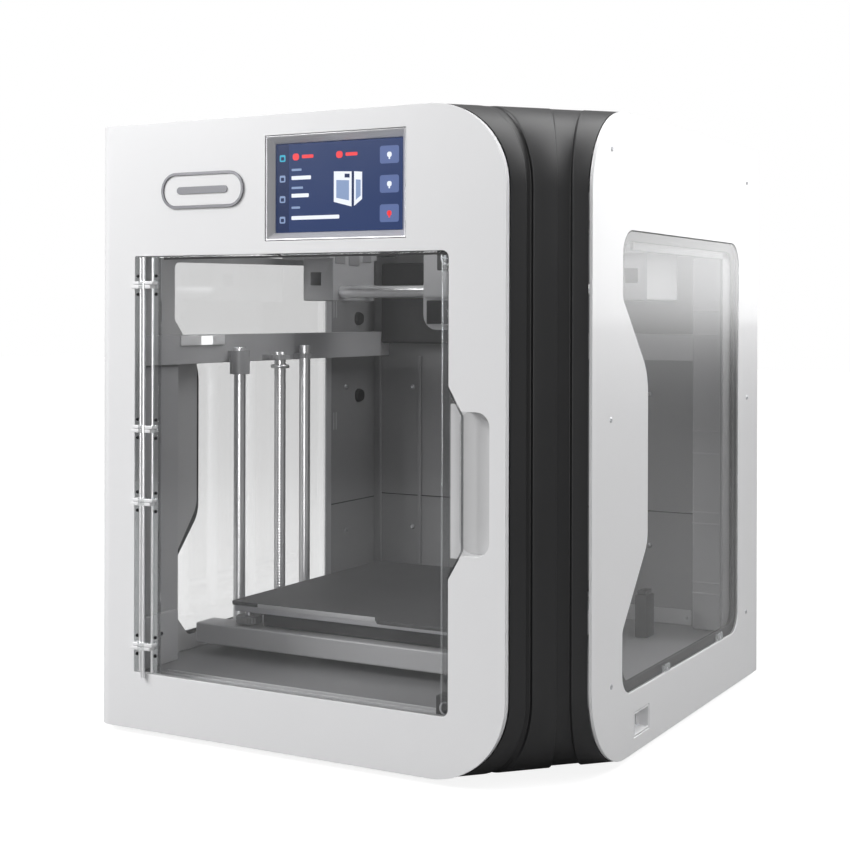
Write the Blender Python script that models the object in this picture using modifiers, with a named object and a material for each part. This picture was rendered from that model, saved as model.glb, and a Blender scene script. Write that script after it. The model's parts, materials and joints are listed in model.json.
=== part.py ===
"""Enclosed desktop FDM printer, built as separate sub-parts in metres, +Z up.

Places are given from the empty "printer_origin", midway between front and back. That empty
is shifted so that the whole object, with its rear spool arm, is centred on the world origin.
"""

from math import cos, pi, radians, sin, tan

import bmesh
import bpy
from mathutils import Vector

# Driving dimensions of the cabinet.
WIDTH = 0.3185
RIGHT_X = 0.1565
LEFT_X = RIGHT_X - WIDTH
DEPTH = 0.338
HEIGHT = 0.376
FOOT = 0.004
SKIN = 0.003
GAP = 0.0003
SPOOL_REACH = 0.070
HINGE_PROUD = 0.0052

# Front plate, corner column and side panels.
FRONT_SKIN = 0.004
FRONT_RIGHT_X = 0.1225
FRONT_CORNER_R = 0.047
SIDE_SKIN = 0.002
SIDE_FRONT_Y = -0.1311
SIDE_CORNER_R = 0.0487
LEFT_EDGE_R = 0.010
LEFT_FLANGE = 0.0135
COLUMN_SKIN = 0.004

# Door opening in the front plate, and the door in it.
DOOR_LEFT, DOOR_RIGHT = -0.1326, 0.0875
DOOR_BOTTOM, DOOR_TOP = 0.0390, 0.2947
DOOR_GLASS = 0.003
HINGE_X = -0.1240
HINGE_PIN_R, HINGE_BARREL_R = 0.0014, 0.0034
TAB_X = 0.0954
TAB_TOP, TAB_BOTTOM = 0.2190, 0.1155
TAB_SLOPE = 0.0150
HINGE_RINGS = (0.0561, 0.1443, 0.1890, 0.2770)

# Screen and badge.
SCREEN_X, SCREEN_Z = 0.0126, 0.3329
SCREEN_W, SCREEN_H = 0.0955, 0.0617
GLASS_W, GLASS_H = 0.0863, 0.0520
BADGE_X, BADGE_Z = -0.0807, 0.3338
BADGE_W, BADGE_H = 0.0613, 0.0218

# Side window: the same outline on both sides, further forward on the left.
WINDOW_BACK, WINDOW_FRONT, WINDOW_WAIST = 0.1250, -0.0865, -0.0470
WINDOW_BOTTOM, WINDOW_TOP = 0.0405, 0.3085
LEFT_WINDOW_SHIFT = -0.0323
GASKET = 0.0060

# Chamber.
FLOOR_TOP = 0.034
LINER_Y = 0.154
BEAM_BOTTOM, BEAM_TOP = 0.2265, 0.2455
FRAME_FRONT = -0.1480

# Bed and its lift.
BED_LEFT, BED_RIGHT = -0.122, 0.066
BED_FRONT, BED_BACK = -0.085, 0.103
BED_TOP = 0.070
Z_ROD_X, Z_ROD_R = -0.136, 0.004
Z_ROD_YS = (-0.0563, 0.0225)
SCREW_X, SCREW_Y = -0.1305, -0.0165
SCREW_R, SCREW_COLLAR_R = 0.0040, 0.0066
KNOB_SPOTS = ((-0.1130, -0.0765), (0.0620, -0.0765), (-0.0280, 0.0960))

# Rear wall: the exhaust fan's hole, the mains inlet and the rocker switch.
FAN_X, FAN_Z, FAN_R = 0.075, 0.315, 0.020
FAN_BLADES, FAN_PITCH = 7, radians(28)
INLET_X, INLET_Z, INLET_W, INLET_H = -0.0990, 0.0200, 0.0280, 0.0200
SWITCH_X, SWITCH_Z, SWITCH_W, SWITCH_H = -0.0715, 0.0200, 0.0130, 0.0160

# USB port in the right side panel.
USB_Y, USB_Z, USB_W, USB_H = -0.0560, 0.0202, 0.0245, 0.0147
USB_RIM = 0.0015

# Spool arm on the rear panel.
SPOOL_X, SPOOL_Z = -0.020, 0.250
SPOOL_ARM_R, SPOOL_LIP_R, SPOOL_BORE_R = 0.0150, 0.0190, 0.0120

# Gantry.
Y_ROD_X, Y_ROD_Z = 0.138, 0.309
X_ROD_YS = (0.024, 0.060)
X_ROD_Z, X_ROD_R = 0.2755, 0.0042
MOTOR_Y = 0.1105
BELT_THICK = 0.0008
CLEAR = 0.0003

FACE_Y = -DEPTH / 2
BACK_Y = DEPTH / 2


def clear_scene():
    for obj in list(bpy.data.objects):
        bpy.data.objects.remove(obj, do_unlink=True)


def new_collection(name):
    collection = bpy.data.collections.new(name)
    bpy.context.scene.collection.children.link(collection)
    return collection


clear_scene()
PARTS = new_collection("fdm_printer")
CUTTERS = new_collection("cutters")
ORIGIN = bpy.data.objects.new("printer_origin", None)
ORIGIN.location = (-(LEFT_X + RIGHT_X) / 2, -(SPOOL_REACH - HINGE_PROUD) / 2, 0)
PARTS.objects.link(ORIGIN)


def material(name, colour, roughness, metallic=0.0, alpha=1.0):
    made = bpy.data.materials.new(name)
    made.use_nodes = True
    shader = made.node_tree.nodes["Principled BSDF"]
    shader.inputs["Base Color"].default_value = (*colour, 1)
    shader.inputs["Roughness"].default_value = roughness
    shader.inputs["Metallic"].default_value = metallic
    shader.inputs["Alpha"].default_value = alpha
    return made


WHITE = material("white_shell", (0.80, 0.80, 0.81), 0.35)
BLACK = material("black_plastic", (0.03, 0.03, 0.03), 0.45)
CLEAR_GLASS = material("clear_acrylic", (0.85, 0.88, 0.90), 0.05, alpha=0.25)
RUBBER = material("black_rubber", (0.02, 0.02, 0.02), 0.80)
GREY = material("grey_liner", (0.12, 0.12, 0.13), 0.55)
LIGHT = material("light_grey_plastic", (0.45, 0.45, 0.46), 0.50)
STEEL = material("polished_steel", (0.70, 0.70, 0.72), 0.15, 1.0)
ALUMINIUM = material("brushed_aluminium", (0.60, 0.60, 0.62), 0.35, 1.0)
SCREEN = material("screen_glass", (0.02, 0.05, 0.14), 0.08)
BUILD = material("build_sheet", (0.08, 0.08, 0.08), 0.60)
BRASS = material("brass", (0.70, 0.50, 0.20), 0.30, 1.0)
BOARD = material("circuit_board", (0.03, 0.15, 0.08), 0.50)


def adopt(obj, mat, collection=None):
    """Links a new object, gives it its material and hangs it on the printer's origin."""
    (collection or PARTS).objects.link(obj)
    obj.parent = ORIGIN
    if mat:
        obj.data.materials.append(mat)
    if collection is CUTTERS:
        obj.hide_render = True
        obj.display_type = "WIRE"
    return obj


def from_bmesh(name, shape, mat, location=(0, 0, 0), collection=None):
    mesh = bpy.data.meshes.new(name)
    bmesh.ops.recalc_face_normals(shape, faces=shape.faces)
    shape.to_mesh(mesh)
    shape.free()
    obj = bpy.data.objects.new(name, mesh)
    obj.location = location
    return adopt(obj, mat, collection)


def box(name, low, high, mat, bevel=0.0, collection=None):
    """A box between two corners, with its edges rounded where bevel is over zero."""
    low, high = Vector(low), Vector(high)
    shape = bmesh.new()
    bmesh.ops.create_cube(shape, size=1.0)
    bmesh.ops.scale(shape, vec=high - low, verts=shape.verts)
    obj = from_bmesh(name, shape, mat, (low + high) / 2, collection)
    if bevel:
        soften(obj, bevel)
    return obj


def soften(obj, width, segments=2):
    modifier = obj.modifiers.new("edges", "BEVEL")
    modifier.width = width
    modifier.segments = segments
    modifier.limit_method = "ANGLE"
    modifier.angle_limit = radians(40)


def bar(name, start, end, radius, mat, sides=20, collection=None):
    """A cylinder from start to end, with its origin on start."""
    start, end = Vector(start), Vector(end)
    shape = bmesh.new()
    length = (end - start).length
    bmesh.ops.create_cone(
        shape, cap_ends=True, segments=sides, radius1=radius, radius2=radius, depth=length
    )
    bmesh.ops.translate(shape, vec=(0, 0, length / 2), verts=shape.verts)
    obj = from_bmesh(name, shape, mat, start, collection)
    obj.rotation_euler = (end - start).to_track_quat("Z", "Y").to_euler()
    obj.data.shade_smooth()
    obj.data.set_sharp_from_angle(angle=radians(40))
    return obj


def rounded(corners, steps=6):
    """An outline through (u, v, radius) corners, each rounded by an arc of that radius."""
    points = []
    for i, (u, v, radius) in enumerate(corners):
        here = Vector((u, v))
        to_last = (Vector(corners[i - 1][:2]) - here).normalized()
        to_next = (Vector(corners[(i + 1) % len(corners)][:2]) - here).normalized()
        if radius <= 0:
            points.append(here)
            continue
        half = to_last.angle(to_next) / 2
        centre = here + (to_last + to_next).normalized() * radius / sin(half)
        start = here + to_last * radius / tan(half)
        end = here + to_next * radius / tan(half)
        first, last = start - centre, end - centre
        turn = first.angle_signed(last)
        for k in range(steps + 1):
            angle = -turn * k / steps
            points.append(
                centre
                + Vector(
                    (
                        first.x * cos(angle) - first.y * sin(angle),
                        first.x * sin(angle) + first.y * cos(angle),
                    )
                )
            )
    return points


def rectangle(u0, v0, u1, v1, radius=0.0):
    return [(u0, v0, radius), (u1, v0, radius), (u1, v1, radius), (u0, v1, radius)]


PLANES = {
    "XY": (0, 0, 0),
    "XZ": (pi / 2, 0, 0),
    "YZ": (pi / 2, 0, pi / 2),
}


def slab(name, outlines, plane, low, high, mat, steps=6, collection=None):
    """A flat piece: 2D outlines, the inner ones as holes, between two levels on its normal."""
    curve = bpy.data.curves.new(name, "CURVE")
    curve.dimensions = "2D"
    curve.fill_mode = "BOTH"
    curve.extrude = abs(high - low) / 2
    for outline in outlines:
        points = rounded(outline, steps)
        spline = curve.splines.new("POLY")
        spline.points.add(len(points) - 1)
        for point, (u, v) in zip(spline.points, points):
            point.co = (u, v, 0, 1)
        spline.use_cyclic_u = True
    guide = bpy.data.objects.new(name + "_outline", curve)
    CUTTERS.objects.link(guide)
    bpy.context.view_layer.update()
    graph = bpy.context.evaluated_depsgraph_get()
    mesh = bpy.data.meshes.new_from_object(guide.evaluated_get(graph))
    bpy.data.objects.remove(guide, do_unlink=True)
    shape = bmesh.new()
    shape.from_mesh(mesh)
    bmesh.ops.remove_doubles(shape, verts=shape.verts, dist=1e-6)
    bpy.data.meshes.remove(mesh)
    middle = (low + high) / 2
    where = {"XY": (0, 0, middle), "XZ": (0, middle, 0), "YZ": (middle, 0, 0)}[plane]
    obj = from_bmesh(name, shape, mat, where, collection)
    obj.rotation_euler = PLANES[plane]
    return obj


def boolean(obj, other, operation):
    modifier = obj.modifiers.new(f"{operation.lower()} {other.name}", "BOOLEAN")
    modifier.operation = operation
    modifier.object = other
    other.hide_render = True
    other.display_type = "WIRE"
    return obj


def cut(obj, cutter):
    return boolean(obj, cutter, "DIFFERENCE")


def join(obj, other):
    return boolean(obj, other, "UNION")


def tool_box(name, low, high, bevel=0.0):
    return box("tool_" + name, low, high, None, bevel, CUTTERS)


def tool_bar(name, start, end, radius, sides=20):
    return bar("tool_" + name, start, end, radius, None, sides, CUTTERS)


def tool_slab(name, outlines, plane, low, high, steps=6):
    return slab("tool_" + name, outlines, plane, low, high, None, steps, CUTTERS)


def turned(name, profile, centre, mat, axis=(0, 0, 1), steps=24):
    """A turned piece: (radius, height) pairs from the top down, spun round the axis."""
    mesh = bpy.data.meshes.new(name)
    points = [(r, 0, h) for r, h in profile]
    mesh.from_pydata(points, [(i, i + 1) for i in range(len(points) - 1)], [])
    obj = bpy.data.objects.new(name, mesh)
    obj.location = centre
    obj.rotation_euler = Vector(axis).to_track_quat("Z", "Y").to_euler()
    adopt(obj, mat)
    screw = obj.modifiers.new("turn", "SCREW")
    screw.steps = screw.render_steps = steps
    screw.use_merge_vertices = True
    screw.merge_threshold = 1e-5
    screw.use_smooth_shade = False
    return obj


# ---------------------------------------------------------------- cabinet


def opening_outline(grow=0.0):
    """The door opening: a rectangle whose right side follows the door's finger tab."""
    right, tab = DOOR_RIGHT + grow, TAB_X + 0.0009 + grow
    return [
        (DOOR_LEFT, DOOR_BOTTOM, 0.001),
        (right, DOOR_BOTTOM, 0.004),
        (right, TAB_BOTTOM - 0.001, 0.003),
        (tab, TAB_BOTTOM + TAB_SLOPE - 0.001, 0.004),
        (tab, TAB_TOP - TAB_SLOPE + 0.001, 0.004),
        (right, TAB_TOP + 0.001, 0.003),
        (right, DOOR_TOP, 0.004),
        (DOOR_LEFT, DOOR_TOP, 0.001),
    ]


def front_outline():
    return [
        (LEFT_X, FOOT, 0),
        (FRONT_RIGHT_X, FOOT, FRONT_CORNER_R),
        (FRONT_RIGHT_X, HEIGHT, FRONT_CORNER_R),
        (LEFT_X, HEIGHT, 0),
    ]


def make_front_plate():
    """The front plate wraps round the cabinet's left vertical edge."""
    inner_r = LEFT_EDGE_R - FRONT_SKIN
    plan = [
        (FRONT_RIGHT_X + 0.01, FACE_Y, 0),
        (LEFT_X, FACE_Y, LEFT_EDGE_R),
        (LEFT_X, FACE_Y + LEFT_FLANGE, 0),
        (LEFT_X + FRONT_SKIN, FACE_Y + LEFT_FLANGE, 0),
        (LEFT_X + FRONT_SKIN, FACE_Y + FRONT_SKIN, inner_r),
        (FRONT_RIGHT_X + 0.01, FACE_Y + FRONT_SKIN, 0),
    ]
    plate = slab("front_plate", [plan], "XY", FOOT - 0.01, HEIGHT + 0.01, WHITE, 8)
    outline = tool_slab(
        "front_outline", [front_outline()], "XZ", FACE_Y - 0.01, FACE_Y + 0.02, 16
    )
    boolean(plate, outline, "INTERSECT")
    recess_low = (DOOR_RIGHT - 0.004, FACE_Y + FRONT_SKIN - 0.001, 0.1245)
    join(plate, tool_box("recess_cup", recess_low, (0.1160, FACE_Y + 0.0125, 0.2100)))
    pocket = [rectangle(DOOR_RIGHT - 0.01, 0.1281, 0.1127, 0.2065, 0.008)]
    cut(plate, tool_slab("recess_pocket", pocket, "XZ", FACE_Y - 0.01, FACE_Y + 0.0100))
    cut(plate, tool_slab("opening", [opening_outline()], "XZ", FACE_Y - 0.01, FACE_Y + 0.0100, 4))
    left, right = SCREEN_X - SCREEN_W / 2, SCREEN_X + SCREEN_W / 2
    low, high = SCREEN_Z - SCREEN_H / 2, SCREEN_Z + SCREEN_H / 2
    cut(plate, tool_box("screen_hole", (left, FACE_Y - 0.01, low), (right, FACE_Y + 0.01, high)))


def make_screen():
    """A bezel whose sides slope in to the glass, and the display behind it."""
    x0, x1 = SCREEN_X - SCREEN_W / 2 + GAP, SCREEN_X + SCREEN_W / 2 - GAP
    z0, z1 = SCREEN_Z - SCREEN_H / 2 + GAP, SCREEN_Z + SCREEN_H / 2 - GAP
    bezel = box("screen_bezel", (x0, FACE_Y + 0.0002, z0), (x1, FACE_Y + 0.0080, z1), LIGHT)
    shape = bmesh.new()
    bmesh.ops.create_cube(shape, size=1.0)
    front_w, front_h = SCREEN_W - 0.0016, SCREEN_H - 0.0016
    for vert in shape.verts:
        wide = vert.co.z > 0
        vert.co.x *= front_w if wide else GLASS_W
        vert.co.y *= front_h if wide else GLASS_H
        vert.co.z = 0.0001 if wide else -0.0045
    slope = from_bmesh("tool_bezel_slope", shape, None, (SCREEN_X, FACE_Y, SCREEN_Z), CUTTERS)
    slope.rotation_euler = PLANES["XZ"]
    cut(bezel, slope)
    pocket_low = (SCREEN_X - GLASS_W / 2, FACE_Y + 0.0030, SCREEN_Z - GLASS_H / 2)
    pocket_high = (SCREEN_X + GLASS_W / 2, FACE_Y + 0.0100, SCREEN_Z + GLASS_H / 2)
    cut(bezel, tool_box("bezel_pocket", pocket_low, pocket_high))
    inset = Vector((GAP, 0, GAP))
    low = Vector(pocket_low) + inset + Vector((0, 0.0016, 0))
    high = Vector(pocket_high) - inset - Vector((0, 0.0010, 0))
    box("touch_screen", low, high, SCREEN)


def make_badge():
    pill = rectangle(
        BADGE_X - BADGE_W / 2, BADGE_Z - BADGE_H / 2, BADGE_X + BADGE_W / 2,
        BADGE_Z + BADGE_H / 2, BADGE_H / 2 - 0.0001,
    )
    slab("badge", [pill], "XZ", FACE_Y - 0.0010 - GAP, FACE_Y - GAP, LIGHT, 8)


def column_profile(count=10):
    """Pairs (front point, side point, rise angle) down the corner column's two outlines."""
    rows = []
    for half, sign in ((0, 1), (1, -1)):
        middle = (HEIGHT + FOOT) / 2
        reach = (HEIGHT - FOOT) / 2
        steps = range(count + 1) if half == 0 else range(count, -1, -1)
        for k in steps:
            angle = pi / 2 * (1 - k / count)
            front = Vector(
                (
                    FRONT_RIGHT_X - FRONT_CORNER_R * (1 - cos(angle)),
                    FACE_Y,
                    middle + sign * (reach - FRONT_CORNER_R * (1 - sin(angle))),
                )
            )
            side = Vector(
                (
                    RIGHT_X,
                    SIDE_FRONT_Y + SIDE_CORNER_R * (1 - cos(angle)),
                    middle + sign * (reach - SIDE_CORNER_R * (1 - sin(angle))),
                )
            )
            rows.append((front, side, sign * angle))
    return rows


# How far the column's edges sit behind the front plate's and the side panel's outlines.
COLUMN_FRONT_TUCK = Vector((0.0008, FRONT_SKIN + GAP, 0))
COLUMN_SIDE_TUCK = Vector((-SIDE_SKIN - GAP, -GAP, 0))

# Across the column: how far along, and 1 on a groove's floor.
COLUMN_SECTION = (
    (0.000, 0.0),
    (0.205, 0.0),
    (0.215, 1.0),
    (0.275, 1.0),
    (0.285, 0.0),
    (0.600, 0.0),
    (0.610, 1.0),
    (0.780, 1.0),
    (0.790, 0.0),
    (1.000, 0.0),
)


def make_corner_column():
    """The chamfered column: a loft from the front plate's edge to the side panel's."""
    groove = 0.0022
    shape = bmesh.new()
    outer, inner = [], []
    for front, side, angle in column_profile():
        front += COLUMN_FRONT_TUCK
        side += COLUMN_SIDE_TUCK
        across = side - front
        face = Vector((across.y, -across.x, 0)).normalized()
        out = (face * cos(angle) + Vector((0, 0, 1)) * sin(angle)).normalized()
        fade = cos(angle) ** 0.5 if cos(angle) > 1e-6 else 0.0
        outer.append(
            [
                shape.verts.new(front.lerp(side, s) - out * groove * depth * fade)
                for s, depth in COLUMN_SECTION
            ]
        )
        inner.append(
            [shape.verts.new(front.lerp(side, s) - out * COLUMN_SKIN) for s, _ in COLUMN_SECTION]
        )
    last_row, last_col = len(outer) - 1, len(COLUMN_SECTION) - 1
    for i in range(last_row):
        for j in range(last_col):
            shape.faces.new((outer[i][j], outer[i + 1][j], outer[i + 1][j + 1], outer[i][j + 1]))
            shape.faces.new((inner[i][j], inner[i][j + 1], inner[i + 1][j + 1], inner[i + 1][j]))
        for j in (0, last_col):
            shape.faces.new((outer[i][j], inner[i][j], inner[i + 1][j], outer[i + 1][j]))
    for i in (0, last_row):
        for j in range(last_col):
            shape.faces.new((outer[i][j], outer[i][j + 1], inner[i][j + 1], inner[i][j]))
    return from_bmesh("corner_column", shape, BLACK)


def window_outline(shift=0.0, inset=0.0):
    """A tall window whose front edge steps back to a waist at mid height."""
    front, back = WINDOW_FRONT + shift + inset, WINDOW_BACK + shift - inset
    waist = WINDOW_WAIST + shift + inset
    low, high = WINDOW_BOTTOM + inset, WINDOW_TOP - inset
    return [
        (front, low, 0.013 - inset / 2),
        (back, low, 0.013 - inset / 2),
        (back, high, 0.015 - inset / 2),
        (front, high, 0.015 - inset / 2),
        (front, 0.2690, 0.006),
        (waist, 0.2250, 0.030),
        (waist, 0.1240, 0.020),
        (front, 0.0780, 0.006),
    ]


def make_side(side, sign, front_y, corner_r, shift):
    """One side panel with its window, the clear pane in it and the gasket behind the pane."""
    outer = RIGHT_X if sign > 0 else LEFT_X
    inner = outer - sign * SIDE_SKIN
    outline = [
        (front_y, FOOT, corner_r),
        (BACK_Y, FOOT, 0),
        (BACK_Y, HEIGHT, 0),
        (front_y, HEIGHT, corner_r),
    ]
    hole = window_outline(shift)
    slab(f"{side}_side_panel", [outline, hole], "YZ", inner, outer, WHITE, 14)
    pane = window_outline(shift, GAP)
    slab(f"{side}_window", [pane], "YZ", inner, outer - sign * GAP, CLEAR_GLASS, 14)
    rim, mouth = window_outline(shift, -0.0020), window_outline(shift, GASKET)
    behind = inner - sign * GAP
    slab(
        f"{side}_window_gasket", [rim, mouth], "YZ", behind, behind - sign * 0.0020, RUBBER, 14
    )


def make_sides():
    make_side("right", 1, SIDE_FRONT_Y, SIDE_CORNER_R, 0.0)
    make_side("left", -1, FACE_Y + LEFT_FLANGE + GAP, 0.0, LEFT_WINDOW_SHIFT)
    hole = tool_box(
        "usb_hole",
        (RIGHT_X - 0.01, USB_Y - USB_W / 2, USB_Z - USB_H / 2),
        (RIGHT_X + 0.01, USB_Y + USB_W / 2, USB_Z + USB_H / 2),
    )
    cut(PARTS.objects["right_side_panel"], hole)
    low = (RIGHT_X - 0.0120, USB_Y - USB_W / 2 + GAP, USB_Z - USB_H / 2 + GAP)
    high = (RIGHT_X - 0.0002, USB_Y + USB_W / 2 - GAP, USB_Z + USB_H / 2 - GAP)
    port = box("usb_port", low, high, WHITE)
    pocket_low = (RIGHT_X - 0.0060, USB_Y - USB_W / 2 + USB_RIM, USB_Z - USB_H / 2 + USB_RIM)
    pocket_high = (RIGHT_X + 0.01, USB_Y + USB_W / 2 - USB_RIM, USB_Z + USB_H / 2 - USB_RIM)
    cut(port, tool_box("usb_pocket", pocket_low, pocket_high))
    slot_low = (RIGHT_X - 0.0110, USB_Y + 0.0010, USB_Z - 0.0045)
    slot_high = (RIGHT_X - 0.0050, USB_Y + 0.0060, USB_Z + 0.0045)
    cut(port, tool_box("usb_slot", slot_low, slot_high))


def corner_cut(front, right, gap):
    """Where the line across the column's end meets a front and a right edge, on its inner side."""
    start = Vector((FRONT_RIGHT_X - FRONT_CORNER_R, FACE_Y)) + COLUMN_FRONT_TUCK.xy
    end = Vector((RIGHT_X, SIDE_FRONT_Y + SIDE_CORNER_R)) + COLUMN_SIDE_TUCK.xy
    x0, y0 = start
    slope = (end.y - y0) / (end.x - x0)
    return (x0 + (front - y0) / slope - gap, front, 0), (right, y0 + (right - x0) * slope + gap, 0)


def make_base():
    """A shallow tray under the chamber, its floor plate and four feet."""
    left, right = LEFT_X + FRONT_SKIN + 0.0005, RIGHT_X - 0.0065
    front, back = FACE_Y + 0.0165, BACK_Y - SKIN - GAP
    tray_back, tray_right = BACK_Y - 0.0240, RIGHT_X - 0.0125
    outline = [
        (left, front, 0),
        *corner_cut(front, right, 0.0010),
        (right, back, 0),
        (left, back, 0),
    ]
    tray_outline = [
        (left, front, 0),
        *corner_cut(front, tray_right, 0.0010),
        (tray_right, tray_back, 0),
        (left, tray_back, 0),
    ]
    tray = slab("base_pan", [tray_outline], "XY", FOOT + 0.0002, FLOOR_TOP - 0.0030, LIGHT)
    skirt_front = FACE_Y + FRONT_SKIN + GAP
    skirt_right = RIGHT_X - SIDE_SKIN - GAP
    skirt = [
        (left, skirt_front, 0.006),
        *corner_cut(skirt_front, skirt_right, 0.0006),
        (skirt_right, back, 0),
        (left, back, 0),
    ]
    join(tray, tool_slab("base_skirt", [skirt], "XY", FOOT + 0.0002, FOOT + 0.0022))
    hollow = tool_box(
        "base_hollow",
        (left + 0.002, front + 0.060, FOOT + 0.0022),
        (tray_right - 0.002, tray_back - 0.002, FLOOR_TOP),
    )
    cut(tray, hollow)
    floor = slab("chamber_floor", [outline], "XY", FLOOR_TOP - 0.0025, FLOOR_TOP, LIGHT)
    cut(floor, tool_bar("floor_hole", (SCREW_X, SCREW_Y, 0.02), (SCREW_X, SCREW_Y, 0.04), 0.006))
    for side, x in (("left", LEFT_X + 0.045), ("right", RIGHT_X - 0.060)):
        for end, y in (("front", FACE_Y + 0.060), ("rear", BACK_Y - 0.045)):
            profile = [(0, FOOT), (0.0090, FOOT), (0.0080, 0.0004), (0.0070, 0.0), (0, 0.0)]
            profile = [(r, h - (GAP if h == FOOT else 0)) for r, h in profile]
            turned(f"foot_{end}_{side}", profile, (x, y, 0), RUBBER)


def fan_hole():
    turns = [2 * pi * k / 24 for k in range(24)]
    return [(FAN_X + FAN_R * cos(a), FAN_Z + FAN_R * sin(a), 0) for a in turns]


def window_in(centre_u, centre_v, wide, tall):
    return rectangle(
        centre_u - wide / 2, centre_v - tall / 2, centre_u + wide / 2, centre_v + tall / 2
    )


def make_back():
    """Rear sheet with its inlet and switch cut-outs, and the chamber's liner behind the fan."""
    left, right = LEFT_X + SKIN + GAP, RIGHT_X - SKIN - GAP
    outlines = [
        rectangle(left, FOOT + 0.0002, right, HEIGHT - 0.0005),
        fan_hole(),
        window_in(INLET_X, INLET_Z, INLET_W, INLET_H),
        window_in(SWITCH_X, SWITCH_Z, SWITCH_W, SWITCH_H),
    ]
    slab("back_panel", outlines, "XZ", BACK_Y - SKIN, BACK_Y, WHITE)
    liner = [rectangle(left, FLOOR_TOP + GAP, right, 0.3600), fan_hole()]
    slab("back_liner", liner, "XZ", LINER_Y, LINER_Y + 0.0025, GREY)


def make_fan():
    """The exhaust fan's rotor, in the rear wall's round hole."""
    centre = Vector((FAN_X, LINER_Y + 0.0030, FAN_Z))
    hub = bar("exhaust_fan", centre, centre + Vector((0, 0.0075, 0)), 0.0075, BLACK)
    for k in range(FAN_BLADES):
        angle = 2 * pi * k / FAN_BLADES
        blade = tool_box(f"blade_{k}", (-0.00625, -0.0040, -0.0006), (0.00625, 0.0040, 0.0006))
        blade.rotation_mode = "YXZ"
        blade.rotation_euler = (FAN_PITCH, -angle, 0)
        blade.location = centre + Vector((0.0125 * cos(angle), 0.0038, 0.0125 * sin(angle)))
        join(hub, blade)


def make_power():
    """Mains inlet and rocker switch, low on the rear panel."""
    half_w, half_h = INLET_W / 2 - GAP, INLET_H / 2 - GAP
    low = (INLET_X - half_w, BACK_Y - 0.0220, INLET_Z - half_h)
    high = (INLET_X + half_w, BACK_Y, INLET_Z + half_h)
    inlet = box("power_inlet", low, high, BLACK)
    pocket_low = (INLET_X - 0.0115, BACK_Y - 0.016, INLET_Z - 0.0075)
    pocket_high = (INLET_X + 0.0115, BACK_Y + 0.01, INLET_Z + 0.0075)
    cut(inlet, tool_box("inlet_pocket", pocket_low, pocket_high))
    for k in (-1, 0, 1):
        x = INLET_X + 0.0065 * k
        pin_low = (x - 0.0010, BACK_Y - 0.0180, INLET_Z - 0.0020)
        pin_high = (x + 0.0010, BACK_Y - 0.0040, INLET_Z + 0.0020)
        join(inlet, tool_box(f"inlet_pin_{k}", pin_low, pin_high))
    front = BACK_Y - 0.0060
    rocker = [
        (front, SWITCH_Z - 0.0070, 0),
        (BACK_Y + 0.0012, SWITCH_Z - 0.0070, 0),
        (BACK_Y - 0.0002, SWITCH_Z, 0),
        (BACK_Y + 0.0004, SWITCH_Z + 0.0070, 0),
        (front, SWITCH_Z + 0.0070, 0),
    ]
    half = SWITCH_W / 2 - 0.0006
    slab("power_switch", [rocker], "YZ", SWITCH_X - half, SWITCH_X + half, BLACK)


def make_top():
    """A rim round the top, and the lift-off cover that lies in it."""
    left, right = LEFT_X + FRONT_SKIN + 0.0005, RIGHT_X - SKIN - GAP
    front, back = FACE_Y + FRONT_SKIN + GAP, BACK_Y - SKIN - GAP
    outline = [
        (left, front, 0.006),
        *corner_cut(front, right, 0.0006),
        (right, back, 0),
        (left, back, 0),
    ]
    hole = rectangle(-0.128, -0.118, 0.100, 0.138, 0.008)
    rim = slab("top_frame", [outline, hole], "XY", 0.3650, HEIGHT - 0.0005, BLACK)
    step = rectangle(-0.134, -0.124, 0.106, 0.144, 0.012)
    cut(rim, tool_slab("cover_step", [step], "XY", 0.3715, HEIGHT + 0.01))
    cover = rectangle(-0.1335, -0.1235, 0.1055, 0.1435, 0.0115)
    slab("top_cover", [cover], "XY", 0.3715 + GAP, HEIGHT - 0.0005, CLEAR_GLASS)


# ---------------------------------------------------------------- door


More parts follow.
